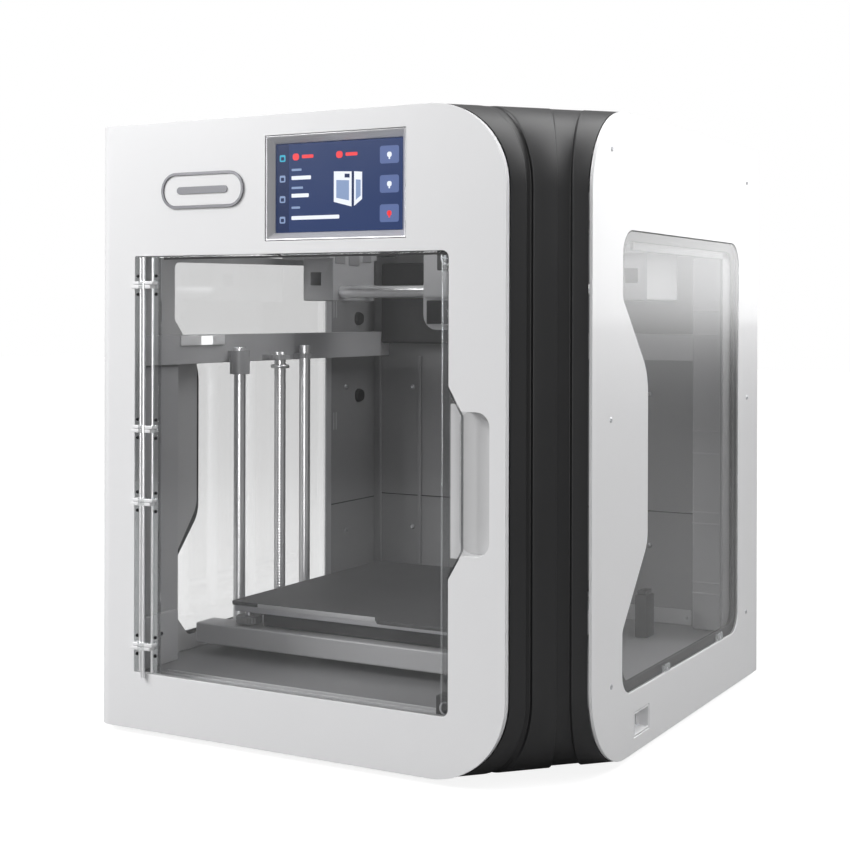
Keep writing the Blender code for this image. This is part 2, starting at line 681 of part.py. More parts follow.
def make_door():
    """The clear door, its long hinge and the two magnet blocks that hold it shut."""
    y0, y1 = FACE_Y + GAP, FACE_Y + GAP + DOOR_GLASS
    edge = 0.0006
    outline = [
        (-0.1140, DOOR_BOTTOM + edge, 0.0005),
        (DOOR_RIGHT - edge, DOOR_BOTTOM + edge, 0.0035),
        (DOOR_RIGHT - edge, TAB_BOTTOM, 0.003),
        (TAB_X, TAB_BOTTOM + TAB_SLOPE, 0.004),
        (TAB_X, TAB_TOP - TAB_SLOPE, 0.004),
        (DOOR_RIGHT - edge, TAB_TOP, 0.003),
        (DOOR_RIGHT - edge, DOOR_TOP - edge, 0.0035),
        (-0.1140, DOOR_TOP - edge, 0.0005),
    ]
    slab("door_glass", [outline], "XZ", y0, y1, CLEAR_GLASS, 4)
    axis_y = FACE_Y - 0.0018
    low, high = DOOR_BOTTOM + 0.0008, DOOR_TOP - 0.0008
    near, far = FACE_Y + 0.0002, FACE_Y + 0.0035
    fixed = box("hinge_fixed_leaf", (-0.1322, near, low), (-0.1280, far, high), CLEAR_GLASS)
    moving = box("hinge_door_leaf", (-0.1200, near, low), (-0.1143, far, high), CLEAR_GLASS)
    foot, head = (HINGE_X, axis_y, low - 0.0030), (HINGE_X, axis_y, high)
    bar("hinge_pin", foot, head, HINGE_PIN_R, STEEL, 16)
    for k, z in enumerate(HINGE_RINGS):
        for leaf, bottom, reach in ((fixed, z - 0.0023, -0.1316), (moving, z + 0.0002, -0.1160)):
            top = bottom + 0.0021
            ends = sorted((reach, HINGE_X))
            arm_low = (ends[0], FACE_Y - 0.0036, bottom)
            arm_high = (ends[1], FACE_Y + 0.0004, top)
            join(leaf, tool_box(f"arm_{leaf.name}_{k}", arm_low, arm_high))
            foot, head = (HINGE_X, axis_y, bottom), (HINGE_X, axis_y, top)
            join(leaf, tool_bar(f"barrel_{leaf.name}_{k}", foot, head, HINGE_BARREL_R, 16))
    for leaf in (fixed, moving):
        foot, head = (HINGE_X, axis_y, 0.02), (HINGE_X, axis_y, 0.31)
        cut(leaf, tool_bar(f"bore_{leaf.name}", foot, head, HINGE_PIN_R + 0.0004, 16))
    back = FACE_Y + FRONT_SKIN + GAP
    for name, z0, z1 in (("upper", 0.2838, 0.2975), ("lower", 0.0360, 0.0492)):
        box(
            f"door_magnet_{name}", (0.0776, back, z0), (0.0900, back + 0.0100, z1), LIGHT
        )


# ---------------------------------------------------------------- chamber


def make_frame():
    """Beams and posts inside the chamber."""
    left = LEFT_X + 0.0056
    back = LINER_Y - GAP
    beam = box(
        "wall_beam_left", (left, FRAME_FRONT, BEAM_BOTTOM), (-0.1430, back, BEAM_TOP), LIGHT
    )
    for name, x, y, radius, low, high, bore in (
        ("front", Z_ROD_X, Z_ROD_YS[0], 0.0068, 0.2185, 0.2345, Z_ROD_R + CLEAR),
        ("screw", SCREW_X, SCREW_Y, 0.0075, 0.2275, 0.2310, 0.0047),
        ("rear", Z_ROD_X, Z_ROD_YS[1], 0.0060, 0.2275, 0.2310, Z_ROD_R + CLEAR),
    ):
        join(beam, tool_bar(f"clamp_{name}", (x, y, low), (x, y, high), radius, 24))
        root = max(low, BEAM_BOTTOM + 0.001)
        join(beam, tool_box(f"clamp_root_{name}", (-0.1440, y - 0.004, root), (x, y + 0.004, high)))
        cut(beam, tool_bar(f"clamp_bore_{name}", (x, y, 0.20), (x, y, 0.25), bore, 20))
    foot, top = FLOOR_TOP + GAP, 0.3000
    post_high = (-0.1460, -0.1090, BEAM_BOTTOM - GAP)
    box("front_post", (left, FRAME_FRONT, foot), post_high, LIGHT, 0.001)
    corner = box("rear_frame", (0.1168, LINER_Y - 0.0120, foot), (0.1500, back, top), LIGHT, 0.002)
    beam_low = (-0.0600, LINER_Y - 0.0100, BEAM_BOTTOM)
    join(corner, tool_box("rear_beam", beam_low, (0.1200, back, BEAM_TOP)))
    box("filter_box", (-0.1427, 0.1400, 0.2365), (-0.0605, back, top), BLACK, 0.0015)


def make_lift():
    """Guide rods, lead screw and its motor, on the left wall."""
    for name, y in zip(("front", "rear"), Z_ROD_YS):
        bar(f"z_rod_{name}", (Z_ROD_X, y, FLOOR_TOP + GAP), (Z_ROD_X, y, 0.2370), Z_ROD_R, STEEL, 24)
    profile = [
        (0, 0.2330),
        (SCREW_R, 0.2330),
        (SCREW_R, 0.2240),
        (SCREW_COLLAR_R, 0.2240),
        (SCREW_COLLAR_R, 0.2215),
        (SCREW_R, 0.2215),
        (SCREW_R, 0.0290),
        (0, 0.0290),
    ]
    turned("lead_screw", profile, (SCREW_X, SCREW_Y, 0), STEEL)
    low = (SCREW_X - 0.0185, SCREW_Y - 0.0210, 0.0067)
    high = (SCREW_X + 0.0215, SCREW_Y + 0.0210, 0.0285)
    motor = box("z_motor", low, high, BLACK, 0.003)
    join(motor, tool_bar("z_boss", (SCREW_X, SCREW_Y, 0.02), (SCREW_X, SCREW_Y, 0.0287), 0.011, 24))


def make_bed():
    """The carrier on the rods, the frame it carries, the heated bed and the build plate."""
    low, high = 0.0365, 0.0505
    carrier = box("bed_carrier", (-0.1480, -0.0690, low), (-0.1235, 0.0350, high), BLACK, 0.0015)
    for k, y in enumerate(Z_ROD_YS):
        cut(carrier, tool_bar(f"rod_bore_{k}", (Z_ROD_X, y, 0.02), (Z_ROD_X, y, 0.08), Z_ROD_R + CLEAR, 24))
    cut(carrier, tool_bar("nut_bore", (SCREW_X, SCREW_Y, 0.02), (SCREW_X, SCREW_Y, 0.08), SCREW_R + CLEAR, 24))
    outer = [
        (-0.1480, -0.0890, 0.002),
        (0.0720, -0.0890, 0.002),
        (0.0720, 0.1080, 0.002),
        (-0.1232, 0.1080, 0.002),
        (-0.1232, -0.0693, 0),
        (-0.1480, -0.0693, 0),
    ]
    gap = rectangle(-0.1100, -0.0640, 0.0550, 0.0850, 0.004)
    slab("bed_frame", [outer, gap], "XY", 0.0405, 0.0540, LIGHT, 3)
    x0, y0, x1, y1 = BED_LEFT, BED_FRONT, BED_RIGHT, BED_BACK
    heater_low = (x0 + 0.002, y0 + 0.002, BED_TOP - 0.0068)
    heater_high = (x1 - 0.002, y1 - 0.002, BED_TOP - 0.0028)
    box("heated_bed", heater_low, heater_high, ALUMINIUM)
    plate = [
        (x0, y0, 0.003),
        (-0.010, y0, 0.002),
        (-0.004, y0 - 0.008, 0.003),
        (0.048, y0 - 0.008, 0.003),
        (0.054, y0, 0.002),
        (x1, y0, 0.003),
        (x1, y1, 0.003),
        (x0, y1, 0.003),
    ]
    slab("build_plate", [plate], "XY", BED_TOP - 0.0025, BED_TOP, BUILD, 3)
    profile = [
        (0, 0.0629),
        (0.0022, 0.0629),
        (0.0022, 0.0600),
        (0.0080, 0.0600),
        (0.0086, 0.0592),
        (0.0086, 0.0556),
        (0.0080, 0.0548),
        (0, 0.0548),
    ]
    for k, (x, y) in enumerate(KNOB_SPOTS, 1):
        turned(f"levelling_knob_{k}", profile, (x, y, 0), LIGHT)


# ---------------------------------------------------------------- gantry


def make_gantry():
    """Fixed Y rods, the carriages on them, the X rods between, and the toolhead."""
    for side, sign in (("left", -1), ("right", 1)):
        x = sign * Y_ROD_X
        bar(f"y_rod_{side}", (x, -0.1380, Y_ROD_Z), (x, LINER_Y - GAP, Y_ROD_Z), 0.004, STEEL, 20)
        outer, inner = sorted((sign * 0.1480, sign * 0.1060))
        carriage = box(f"y_carriage_{side}", (outer, 0.0100, 0.2990), (inner, 0.0740, 0.3200), LIGHT, 0.001)
        lower = sorted((sign * 0.1320, sign * 0.1060))
        join(carriage, tool_box(f"drop_{side}", (lower[0], 0.0140, 0.2690), (lower[1], 0.0700, 0.3000), 0.001))
        hole = sorted((sign * 0.1255, sign * 0.1165))
        cut(carriage, tool_box(f"window_{side}", (hole[0], 0, 0.2800), (hole[1], 0.10, 0.2895)))
        cut(carriage, tool_bar(f"y_bore_{side}", (x, -0.02, Y_ROD_Z), (x, 0.10, Y_ROD_Z), 0.004 + CLEAR, 20))
        motor_x = sign * 0.1180
        low = (motor_x - 0.0140, MOTOR_Y - 0.0140, 0.3220)
        high = (motor_x + 0.0140, MOTOR_Y + 0.0140, 0.3440)
        motor = box(f"xy_motor_{side}", low, high, BLACK, 0.002)
        foot, head = (motor_x, MOTOR_Y, 0.343), (motor_x, MOTOR_Y, 0.3570)
        join(motor, tool_bar(f"pulley_{side}", foot, head, 0.0055, 20))
    for name, y in zip(("front", "rear"), X_ROD_YS):
        bar(f"x_rod_{name}", (-0.1057, y, X_ROD_Z), (0.1057, y, X_ROD_Z), X_ROD_R, STEEL, 20)
    x1, y0, y1, corner = 0.1245, -0.1100, 0.1170, 0.0065
    outer = rectangle(-x1, y0, x1, y1, corner)
    x2, y2, y3 = x1 - BELT_THICK, y0 + BELT_THICK, y1 - BELT_THICK
    inner = rectangle(-x2, y2, x2, y3, corner - BELT_THICK)
    slab("drive_belt", [outer, inner], "XY", 0.3480, 0.3540, RUBBER, 4)
    make_toolhead()


def make_toolhead():
    """The toolhead's shell on the X rods, and the nozzle under it."""
    head = box("toolhead_shell", (-0.0260, 0.0010, 0.2700), (0.0300, 0.0830, 0.3400), LIGHT, 0.003)
    lower = [
        (-0.0260, 0.2800, 0),
        (-0.0260, 0.2490, 0.010),
        (0.0300, 0.2490, 0.010),
        (0.0300, 0.2800, 0),
    ]
    join(head, tool_slab("duct", [lower], "XZ", 0.0030, 0.0800, 5))
    for k, y in enumerate(X_ROD_YS):
        cut(head, tool_bar(f"x_bore_{k}", (-0.04, y, X_ROD_Z), (0.04, y, X_ROD_Z), X_ROD_R + CLEAR, 20))
    profile = [
        (0, 0.2487),
        (0.0060, 0.2487),
        (0.0060, 0.2440),
        (0.0040, 0.2425),
        (0.0040, 0.2400),
        (0.0006, 0.2376),
        (0, 0.2376),
    ]
    turned("nozzle", profile, (-0.0120, 0.0420, 0), BRASS)


# ---------------------------------------------------------------- electronics and spool


def make_electronics():
    """The power supply and the control board in the tray under the chamber."""
    box("power_supply", (0.0100, -0.0600, 0.0067), (0.1100, 0.0500, 0.0280), ALUMINIUM, 0.001)
    box("control_board", (-0.0850, -0.0600, 0.0100), (-0.0050, 0.0600, 0.0116), BOARD)


def make_spool_holder():
    """A bracket on the rear panel with a hollow arm for one spool."""
    x, z, y0 = SPOOL_X, SPOOL_Z, BACK_Y + GAP
    end = BACK_Y + SPOOL_REACH
    bracket = rectangle(x - 0.030, z - 0.022, x + 0.030, z + 0.022, 0.006)
    plate = slab("spool_holder", [bracket], "XZ", y0, y0 + 0.004, WHITE)
    join(plate, tool_bar("spool_arm", (x, y0 + 0.002, z), (x, end - 0.003, z), SPOOL_ARM_R, 32))
    join(plate, tool_bar("spool_lip", (x, end - 0.004, z), (x, end, z), SPOOL_LIP_R, 32))
    cut(plate, tool_bar("spool_hollow", (x, y0 + 0.010, z), (x, end + 0.01, z), SPOOL_BORE_R, 32))


make_front_plate()
make_screen()
make_badge()
make_corner_column()
make_sides()
make_base()
make_back()
make_fan()
make_power()
make_top()
make_door()
make_frame()
make_lift()
make_bed()
make_gantry()
make_electronics()
make_spool_holder()
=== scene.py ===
"""Looks of the enclosed FDM printer: materials, fine shapes, small parts, light and camera."""

import json
from math import cos, pi, radians, sin, tan

import bmesh
import bpy
from mathutils import Matrix, Vector

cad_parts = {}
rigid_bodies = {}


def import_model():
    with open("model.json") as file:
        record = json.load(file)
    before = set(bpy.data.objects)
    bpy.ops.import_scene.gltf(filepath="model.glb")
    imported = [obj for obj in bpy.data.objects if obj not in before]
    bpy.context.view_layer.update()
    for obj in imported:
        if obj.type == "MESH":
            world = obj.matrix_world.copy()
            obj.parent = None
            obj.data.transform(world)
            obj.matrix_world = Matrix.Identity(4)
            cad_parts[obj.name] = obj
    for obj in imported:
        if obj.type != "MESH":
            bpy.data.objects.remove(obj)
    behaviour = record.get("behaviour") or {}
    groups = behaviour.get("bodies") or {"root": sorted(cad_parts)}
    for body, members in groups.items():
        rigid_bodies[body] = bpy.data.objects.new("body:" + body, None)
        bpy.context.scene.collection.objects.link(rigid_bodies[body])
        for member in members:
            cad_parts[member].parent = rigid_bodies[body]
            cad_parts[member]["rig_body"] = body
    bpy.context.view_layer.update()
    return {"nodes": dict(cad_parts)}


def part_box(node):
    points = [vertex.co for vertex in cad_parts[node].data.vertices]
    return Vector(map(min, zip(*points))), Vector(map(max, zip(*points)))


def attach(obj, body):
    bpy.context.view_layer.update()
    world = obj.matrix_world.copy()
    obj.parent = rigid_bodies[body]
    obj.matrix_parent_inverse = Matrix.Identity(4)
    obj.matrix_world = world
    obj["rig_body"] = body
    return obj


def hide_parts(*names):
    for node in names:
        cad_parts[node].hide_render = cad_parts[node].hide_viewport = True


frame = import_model()

# The cabinet's own frame: x from the line 156.5 mm inside the right panel's face, y from
# midway between front and back, z from the table.
SIDE_X = 0.1565
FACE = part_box("front_plate")[0].y
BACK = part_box("back_panel")[1].y
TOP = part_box("front_plate")[1].z
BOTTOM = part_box("front_plate")[0].z
ZERO = Vector((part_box("right_side_panel")[1].x - SIDE_X, (FACE + BACK) / 2, 0))
FACE_Y = FACE - ZERO.y
BACK_Y = BACK - ZERO.y
LEFT_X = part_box("left_side_panel")[0].x - ZERO.x
WALL_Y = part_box("back_liner")[0].y - ZERO.y
SCENE = bpy.context.scene

RIGHTWARD, FORWARD, BACKWARD, UP = (1, 0, 0), (0, -1, 0), (0, 1, 0), (0, 0, 1)

# The studio: how bright the sky is below and above the horizon, and the floor's own light.
SKY_LOW, SKY_HIGH, FLOOR_LIFT = 0.14, 0.52, 0.88

# Heights of the four hinge knuckles, and (y, z) of the six screws in each side panel. The
# left panel's front screws stand further forward, clear of its window.
HINGE_HEIGHTS = (0.0561, 0.1443, 0.1890, 0.2770)
PANEL_SCREWS = (
    (-0.1038, 0.3530), (0.1435, 0.3527), (-0.1046, 0.2004),
    (0.1442, 0.2013), (-0.1032, 0.0500), (0.1434, 0.0505),
)
LEFT_SCREWS_FORWARD = 0.024

# One layer of the display's flat picture, and the height where the walls' parts begin.
CARD_THICK = 0.00006
WALL_FOOT = 0.0345

# How far the fan guard's bars and screws reach from the fan's centre.
GUARD_REACH = 0.0235


def at(x, y, z):
    """A point given in the cabinet's own frame, in the shared frame."""
    return Vector((x, y, z)) + ZERO


# ---------------------------------------------------------------- materials


def node_of(tree, kind, **values):
    made = tree.nodes.new(kind)
    for name, value in values.items():
        if hasattr(made, name):
            setattr(made, name, value)
        else:
            made.inputs[name.replace("_", " ")].default_value = value
    return made


def surface(name, colour, roughness, metallic=0.0, grain=900.0, bump=0.04, vary=0.04,
            stretch=(1, 1, 1), edge_highlight=0.0, coat=0.0, specular=0.5, rough_vary=0.08):
    """A solid finish: fine grain in the bump, slow drift in colour and gloss, and convex edges painted
    lighter as a painted highlight.
    """
    mat = bpy.data.materials.new(name)
    mat.use_nodes = True
    tree = mat.node_tree
    shader = tree.nodes["Principled BSDF"]
    shader.inputs["Metallic"].default_value = metallic
    shader.inputs["Coat Weight"].default_value = coat
    shader.inputs["Coat Roughness"].default_value = 0.08
    shader.inputs["Specular IOR Level"].default_value = specular
    link = tree.links.new
    place = node_of(tree, "ShaderNodeTexCoord")
    mapping = node_of(tree, "ShaderNodeMapping", Scale=stretch)
    link(place.outputs["Object"], mapping.inputs["Vector"])
    fine = node_of(tree, "ShaderNodeTexNoise", Scale=grain, Detail=3.0, Roughness=0.6)
    slow = node_of(tree, "ShaderNodeTexNoise", Scale=14.0, Detail=4.0, Roughness=0.55)
    link(mapping.outputs["Vector"], fine.inputs["Vector"])
    link(place.outputs["Object"], slow.inputs["Vector"])
    relief = node_of(tree, "ShaderNodeBump", Strength=bump, Distance=0.0004)
    link(fine.outputs["Fac"], relief.inputs["Height"])
    link(relief.outputs["Normal"], shader.inputs["Normal"])
    gloss = node_of(tree, "ShaderNodeMapRange")
    gloss.inputs["To Min"].default_value = max(roughness - rough_vary, 0.02)
    gloss.inputs["To Max"].default_value = min(roughness + rough_vary, 1.0)
    link(slow.outputs["Fac"], gloss.inputs["Value"])
    link(gloss.outputs["Result"], shader.inputs["Roughness"])
    tint = node_of(tree, "ShaderNodeMix", data_type="RGBA")
    tint.inputs["A"].default_value = (*[c * (1 - vary) for c in colour], 1)
    tint.inputs["B"].default_value = (*[min(c * (1 + vary), 1) for c in colour], 1)
    link(slow.outputs["Fac"], tint.inputs["Factor"])
    last = tint.outputs["Result"]
    # Painted highlight: convex edges, found by pointiness, are painted lighter as if light caught them.
    if edge_highlight:
        shape = node_of(tree, "ShaderNodeNewGeometry")
        edge = node_of(tree, "ShaderNodeMapRange")
        edge.inputs["From Min"].default_value = 0.53
        edge.inputs["From Max"].default_value = 0.62
        edge.inputs["To Max"].default_value = edge_highlight
        link(shape.outputs["Pointiness"], edge.inputs["Value"])
        lit_edge = node_of(tree, "ShaderNodeMix", data_type="RGBA")
        lit_edge.inputs["B"].default_value = (*[min(c * 1.6 + 0.06, 1) for c in colour], 1)
        link(edge.outputs["Result"], lit_edge.inputs["Factor"])
        link(last, lit_edge.inputs["A"])
        last = lit_edge.outputs["Result"]
    link(last, shader.inputs["Base Color"])
    return mat


def clear(name, tint, haze, roughness=0.02, gain=1.6):
    """Clear acrylic: a mirror-like skin whose cover is its reflectance, thin face on, strong at the rim."""
    mat = bpy.data.materials.new(name)
    mat.use_nodes = True
    mat.surface_render_method = "BLENDED"
    tree = mat.node_tree
    shader = tree.nodes["Principled BSDF"]
    shader.inputs["Metallic"].default_value = 1.0
    link = tree.links.new
    place = node_of(tree, "ShaderNodeTexCoord")
    smear = node_of(tree, "ShaderNodeTexNoise", Scale=9.0, Detail=5.0, Roughness=0.6)
    link(place.outputs["Object"], smear.inputs["Vector"])
    gloss = node_of(tree, "ShaderNodeMapRange")
    gloss.inputs["To Min"].default_value = roughness
    gloss.inputs["To Max"].default_value = roughness + 0.04
    link(smear.outputs["Fac"], gloss.inputs["Value"])
    link(gloss.outputs["Result"], shader.inputs["Roughness"])
    tone = node_of(tree, "ShaderNodeMix", data_type="RGBA")
    tone.inputs["A"].default_value = (*[c * 0.96 for c in tint], 1)
    tone.inputs["B"].default_value = (*tint, 1)
    link(smear.outputs["Fac"], tone.inputs["Factor"])
    link(tone.outputs["Result"], shader.inputs["Base Color"])
    glance = node_of(tree, "ShaderNodeFresnel", IOR=1.49)
    cover = node_of(tree, "ShaderNodeMapRange")
    cover.inputs["To Min"].default_value = haze
    cover.inputs["To Max"].default_value = haze + gain
    link(glance.outputs["Fac"], cover.inputs["Value"])
    side = node_of(tree, "ShaderNodeNewGeometry")
    inner = node_of(tree, "ShaderNodeMath", operation="SUBTRACT")
    inner.inputs[0].default_value = 1.0
    link(side.outputs["Backfacing"], inner.inputs[1])
    outer = node_of(tree, "ShaderNodeMath", operation="MULTIPLY", use_clamp=True)
    link(cover.outputs["Result"], outer.inputs[0])
    link(inner.outputs["Value"], outer.inputs[1])
    link(outer.outputs["Value"], shader.inputs["Alpha"])
    return mat


def glow(name, colour, strength):
    """A lit patch of the display, with a faint pixel grain."""
    mat = surface(name, [c * 0.4 for c in colour], 0.25, grain=1500, bump=0.01)
    shader = mat.node_tree.nodes["Principled BSDF"]
    shader.inputs["Emission Color"].default_value = (*colour, 1)
    shader.inputs["Emission Strength"].default_value = strength
    return mat


WHITE = surface("shell_white", (0.80, 0.80, 0.81), 0.34, grain=1400, bump=0.025, vary=0.008,
                coat=0.25, rough_vary=0.05)
MOULDED = surface("moulded_white", (0.78, 0.78, 0.79), 0.38, grain=1100, bump=0.04, vary=0.01)
COLUMN = surface("column_black", (0.020, 0.020, 0.021), 0.42, grain=1800, bump=0.10, vary=0.10,
                 specular=0.45)
CLEAR = clear("clear_acrylic", (0.90, 0.91, 0.92), 0.03)
SIDE_CLEAR = clear("side_acrylic", (0.95, 0.955, 0.96), 0.02, roughness=0.22, gain=1.25)
LEFT_CLEAR = clear("left_acrylic", (0.50, 0.51, 0.52), 0.27, roughness=0.08)
EDGE_CLEAR = clear("acrylic_edge", (0.80, 0.83, 0.84), 0.40)
# Painted shade: the acrylic panes' edge faces are painted dark, standing in for the dark lines along their
# edges.
RIM_SHADE = clear("acrylic_rim_shade", (0.14, 0.145, 0.15), 0.75, gain=0.25)
COVER_CLEAR = clear("cover_acrylic", (0.50, 0.52, 0.54), 0.30)
SEAL = clear("seal_strip", (0.16, 0.165, 0.17), 0.45, roughness=0.2)
RUBBER = surface("gasket_rubber", (0.012, 0.012, 0.012), 0.62, grain=2200, bump=0.15, vary=0.15)
LINER = surface("liner_grey", (0.28, 0.28, 0.285), 0.50, grain=1500, bump=0.12, vary=0.10)
# The inner grey parts carry the painted edge highlight on their convex edges.
INNER = surface("inner_grey", (0.42, 0.42, 0.43), 0.40, grain=1300, bump=0.06, vary=0.04, edge_highlight=0.3)
FLOOR_GREY = surface("floor_grey", (0.20, 0.20, 0.205), 0.45, grain=1300, bump=0.06, vary=0.05)
STEEL = surface("polished_steel", (0.88, 0.88, 0.89), 0.30, 1.0, grain=300, bump=0.006,
                vary=0.02, stretch=(1, 1, 0.02), rough_vary=0.03)
# Painted shade: a mid-grey that stands in for the shade inside the door's finger recess.
RECESS_SHADE = surface("recess_painted_shade", (0.60, 0.60, 0.605), 0.45, grain=1400, bump=0.03, vary=0.01)
WALL_GREY = surface("wall_grey", (0.48, 0.48, 0.485), 0.45, grain=1400, bump=0.04, vary=0.02)
KNOB_GREY = surface("knob_grey", (0.22, 0.22, 0.225), 0.45, grain=1400, bump=0.05, vary=0.03)
LAMP_SHELL = surface("lamp_shell", (0.88, 0.88, 0.89), 0.30, grain=1400, bump=0.03, vary=0.02)
ZINC = surface("zinc_screw", (0.50, 0.50, 0.52), 0.28, 1.0, grain=2500, bump=0.06, vary=0.08)
DARK_STEEL = surface("black_screw", (0.04, 0.04, 0.042), 0.35, 0.9, grain=2500, bump=0.08)
ALUMINIUM = surface("milled_aluminium", (0.60, 0.60, 0.62), 0.34, 1.0, grain=500, bump=0.06,
                    vary=0.05, stretch=(0.03, 1, 1))
SILVER = surface("bezel_silver", (0.60, 0.60, 0.62), 0.30, 0.55, grain=1800, bump=0.03, vary=0.02)
BADGE_SILVER = surface("badge_silver", (0.30, 0.30, 0.32), 0.30, 0.80, grain=1800, bump=0.03)
BLACK = surface("inner_black", (0.018, 0.018, 0.019), 0.45, grain=1600, bump=0.12, vary=0.12)
SHEET = surface("build_sheet", (0.055, 0.055, 0.057), 0.58, 0.2, grain=2600, bump=0.30, vary=0.12)
BRASS = surface("nozzle_brass", (0.66, 0.46, 0.19), 0.25, 1.0, grain=900, bump=0.04)
BELT = surface("belt_rubber", (0.02, 0.02, 0.02), 0.70, grain=1500, bump=0.2)
BOARD = surface("board_green", (0.02, 0.10, 0.05), 0.40, grain=900, bump=0.05)
LAMP = glow("lamp_diffuser", (1.0, 1.0, 1.0), 1.0)
NAVY = glow("display_navy", (0.012, 0.030, 0.105), 0.9)
SIDEBAR = glow("display_sidebar", (0.006, 0.018, 0.070), 0.9)
SLATE = glow("display_slate", (0.085, 0.125, 0.280), 0.9)
INK = glow("display_white", (0.80, 0.84, 0.92), 0.75)
DIM = glow("display_dim", (0.22, 0.30, 0.48), 0.8)
RED = glow("display_red", (0.75, 0.05, 0.06), 0.9)
CYAN = glow("display_cyan", (0.04, 0.35, 0.50), 0.9)

# ---------------------------------------------------------------- building helpers


def piece(name, shape, mat, body="cabinet", smooth=35):
    """Turns a bmesh in the shared frame into a piece that rides on a body."""
    mesh = bpy.data.meshes.new(name)
    shape.to_mesh(mesh)
    shape.free()
    mesh.materials.append(mat)
    mesh.shade_smooth()
    mesh.set_sharp_from_angle(angle=radians(smooth))
    obj = bpy.data.objects.new(name, mesh)
    SCENE.collection.objects.link(obj)
    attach(obj, body)
    return obj


def bevel_sharp(shape, width, segments, least=38):
    """Rounds every edge where two faces meet at more than the least angle."""
    sharp = [
        e for e in shape.edges
        if len(e.link_faces) == 2 and e.calc_face_angle(0) > radians(least)
    ]
    if sharp:
        bmesh.ops.bevel(
            shape, geom=sharp, offset=width, segments=segments, profile=0.5,
            affect="EDGES", clamp_overlap=True,
        )


def refine(node, mat, width=0.0005, segments=2, rim=None, across=None):
    """A finer copy of a CAD node: flat faces merged, sharp edges rounded, its rim in a second material,
    used for the painted shade on acrylic edges.
    """
    source = frame["nodes"][node]
    shape = bmesh.new()
    shape.from_mesh(source.data)
    bmesh.ops.remove_doubles(shape, verts=shape.verts, dist=1e-6)
    bmesh.ops.dissolve_limit(
        shape, angle_limit=radians(0.8), verts=shape.verts, edges=shape.edges, delimit=set()
    )
    if width:
        bevel_sharp(shape, width, segments)
    if rim:
        shape.normal_update()
        for face in shape.faces:
            face.material_index = int(abs(face.normal[across]) < 0.8)
    obj = piece(node + "_skin", shape, mat, source["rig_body"])
    if rim:
        obj.data.materials.append(rim)
    flat = obj.modifiers.new("flat_faces", "WEIGHTED_NORMAL")
    flat.keep_sharp = True
    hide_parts(node)
    return obj


def block(low, high):
    """A bmesh box between two corners."""
    low, high = Vector(low), Vector(high)
    shape = bmesh.new()
    bmesh.ops.create_cube(shape, size=1.0)
    bmesh.ops.scale(shape, vec=high - low, verts=shape.verts)
    bmesh.ops.translate(shape, vec=(low + high) / 2, verts=shape.verts)
    return shape


def soft_block(name, low, high, mat, body="cabinet", width=0.0006, segments=3):
    shape = block(low, high)
    bevel_sharp(shape, width, segments)
    return piece(name, shape, mat, body)


def on_circle(radius, k, sides, height):
    """Point k of an even ring of points round the z axis."""
    return Vector((radius * cos(2 * pi * k / sides), radius * sin(2 * pi * k / sides), height))


def close_rings(shape, rings):
    """Joins equal rings of vertices, bottom up, into one closed body."""
    sides = len(rings[0])
    for lower, upper in zip(rings, rings[1:]):
        for k in range(sides):
            after = (k + 1) % sides
            shape.faces.new((lower[k], lower[after], upper[after], upper[k]))
    shape.faces.new(list(reversed(rings[0])))
    shape.faces.new(rings[-1])
    bmesh.ops.recalc_face_normals(shape, faces=shape.faces)


def lathe(profile, base, axis=(0, 0, 1), sides=32):
    """A bmesh turned from (radius, height) pairs, top down, with its ends closed at radius 0."""
    shape = bmesh.new()
    rings = []
    for radius, height in profile:
        if radius < 1e-7:
            rings.append([shape.verts.new((0, 0, height))])
            continue
        rings.append([shape.verts.new(on_circle(radius, k, sides, height)) for k in range(sides)])
    for upper, lower in zip(rings, rings[1:]):
        for k in range(sides):
            after = (k + 1) % sides
            corners = [upper[k % len(upper)], lower[k % len(lower)]]
            if len(lower) > 1:
                corners.append(lower[after])
            if len(upper) > 1:
                corners.append(upper[after])
            if len(corners) > 2:
                shape.faces.new(corners)
    turn = Vector(axis).to_track_quat("Z", "Y").to_matrix().to_4x4()
    bmesh.ops.transform(shape, matrix=Matrix.Translation(base) @ turn, verts=shape.verts)
    bmesh.ops.recalc_face_normals(shape, faces=shape.faces)
    return shape


def rounded(corners, steps=6):
    """2-D points through (u, v, radius) corners, each one rounded by an arc."""
    points = []
    for i, (u, v, radius) in enumerate(corners):
        here = Vector((u, v))
        before = (Vector(corners[i - 1][:2]) - here).normalized()
        after = (Vector(corners[(i + 1) % len(corners)][:2]) - here).normalized()
        if radius <= 0:
            points.append(here)
            continue
        half = before.angle(after) / 2
        centre = here + (before + after).normalized() * radius / sin(half)
        first = here + before * radius / tan(half) - centre
        last = here + after * radius / tan(half) - centre
        turn = -first.angle_signed(last)
        for k in range(steps + 1):
            points.append(centre + first.copy() @ Matrix.Rotation(-turn * k / steps, 2))
    return points


def rectangle(u, v, wide, tall, radius=0.0):
    return [
        (u - wide / 2, v - tall / 2, radius), (u + wide / 2, v - tall / 2, radius),
        (u + wide / 2, v + tall / 2, radius), (u - wide / 2, v + tall / 2, radius),
    ]


def sheet_shape(outline, origin, right, up, depth, steps=6, taper=0.0):
    """A flat outline raised by depth along right x up, its face drawn in by taper."""
    shape = bmesh.new()
    right, up = Vector(right), Vector(up)
    out = right.cross(up)
    points = rounded(outline, steps)
    middle = sum(points, Vector((0, 0))) / len(points)
    low, high = [], []
    for point in points:
        inner = point + (middle - point).normalized() * taper
        low.append(shape.verts.new(Vector(origin) + right * point.x + up * point.y))
        high.append(shape.verts.new(Vector(origin) + right * inner.x + up * inner.y + out * depth))
    shape.faces.new(high)
    shape.faces.new(list(reversed(low)))
    for k in range(len(points)):
        after = (k + 1) % len(points)
        shape.faces.new((low[k], low[after], high[after], high[k]))
    bmesh.ops.recalc_face_normals(shape, faces=shape.faces)
    return shape


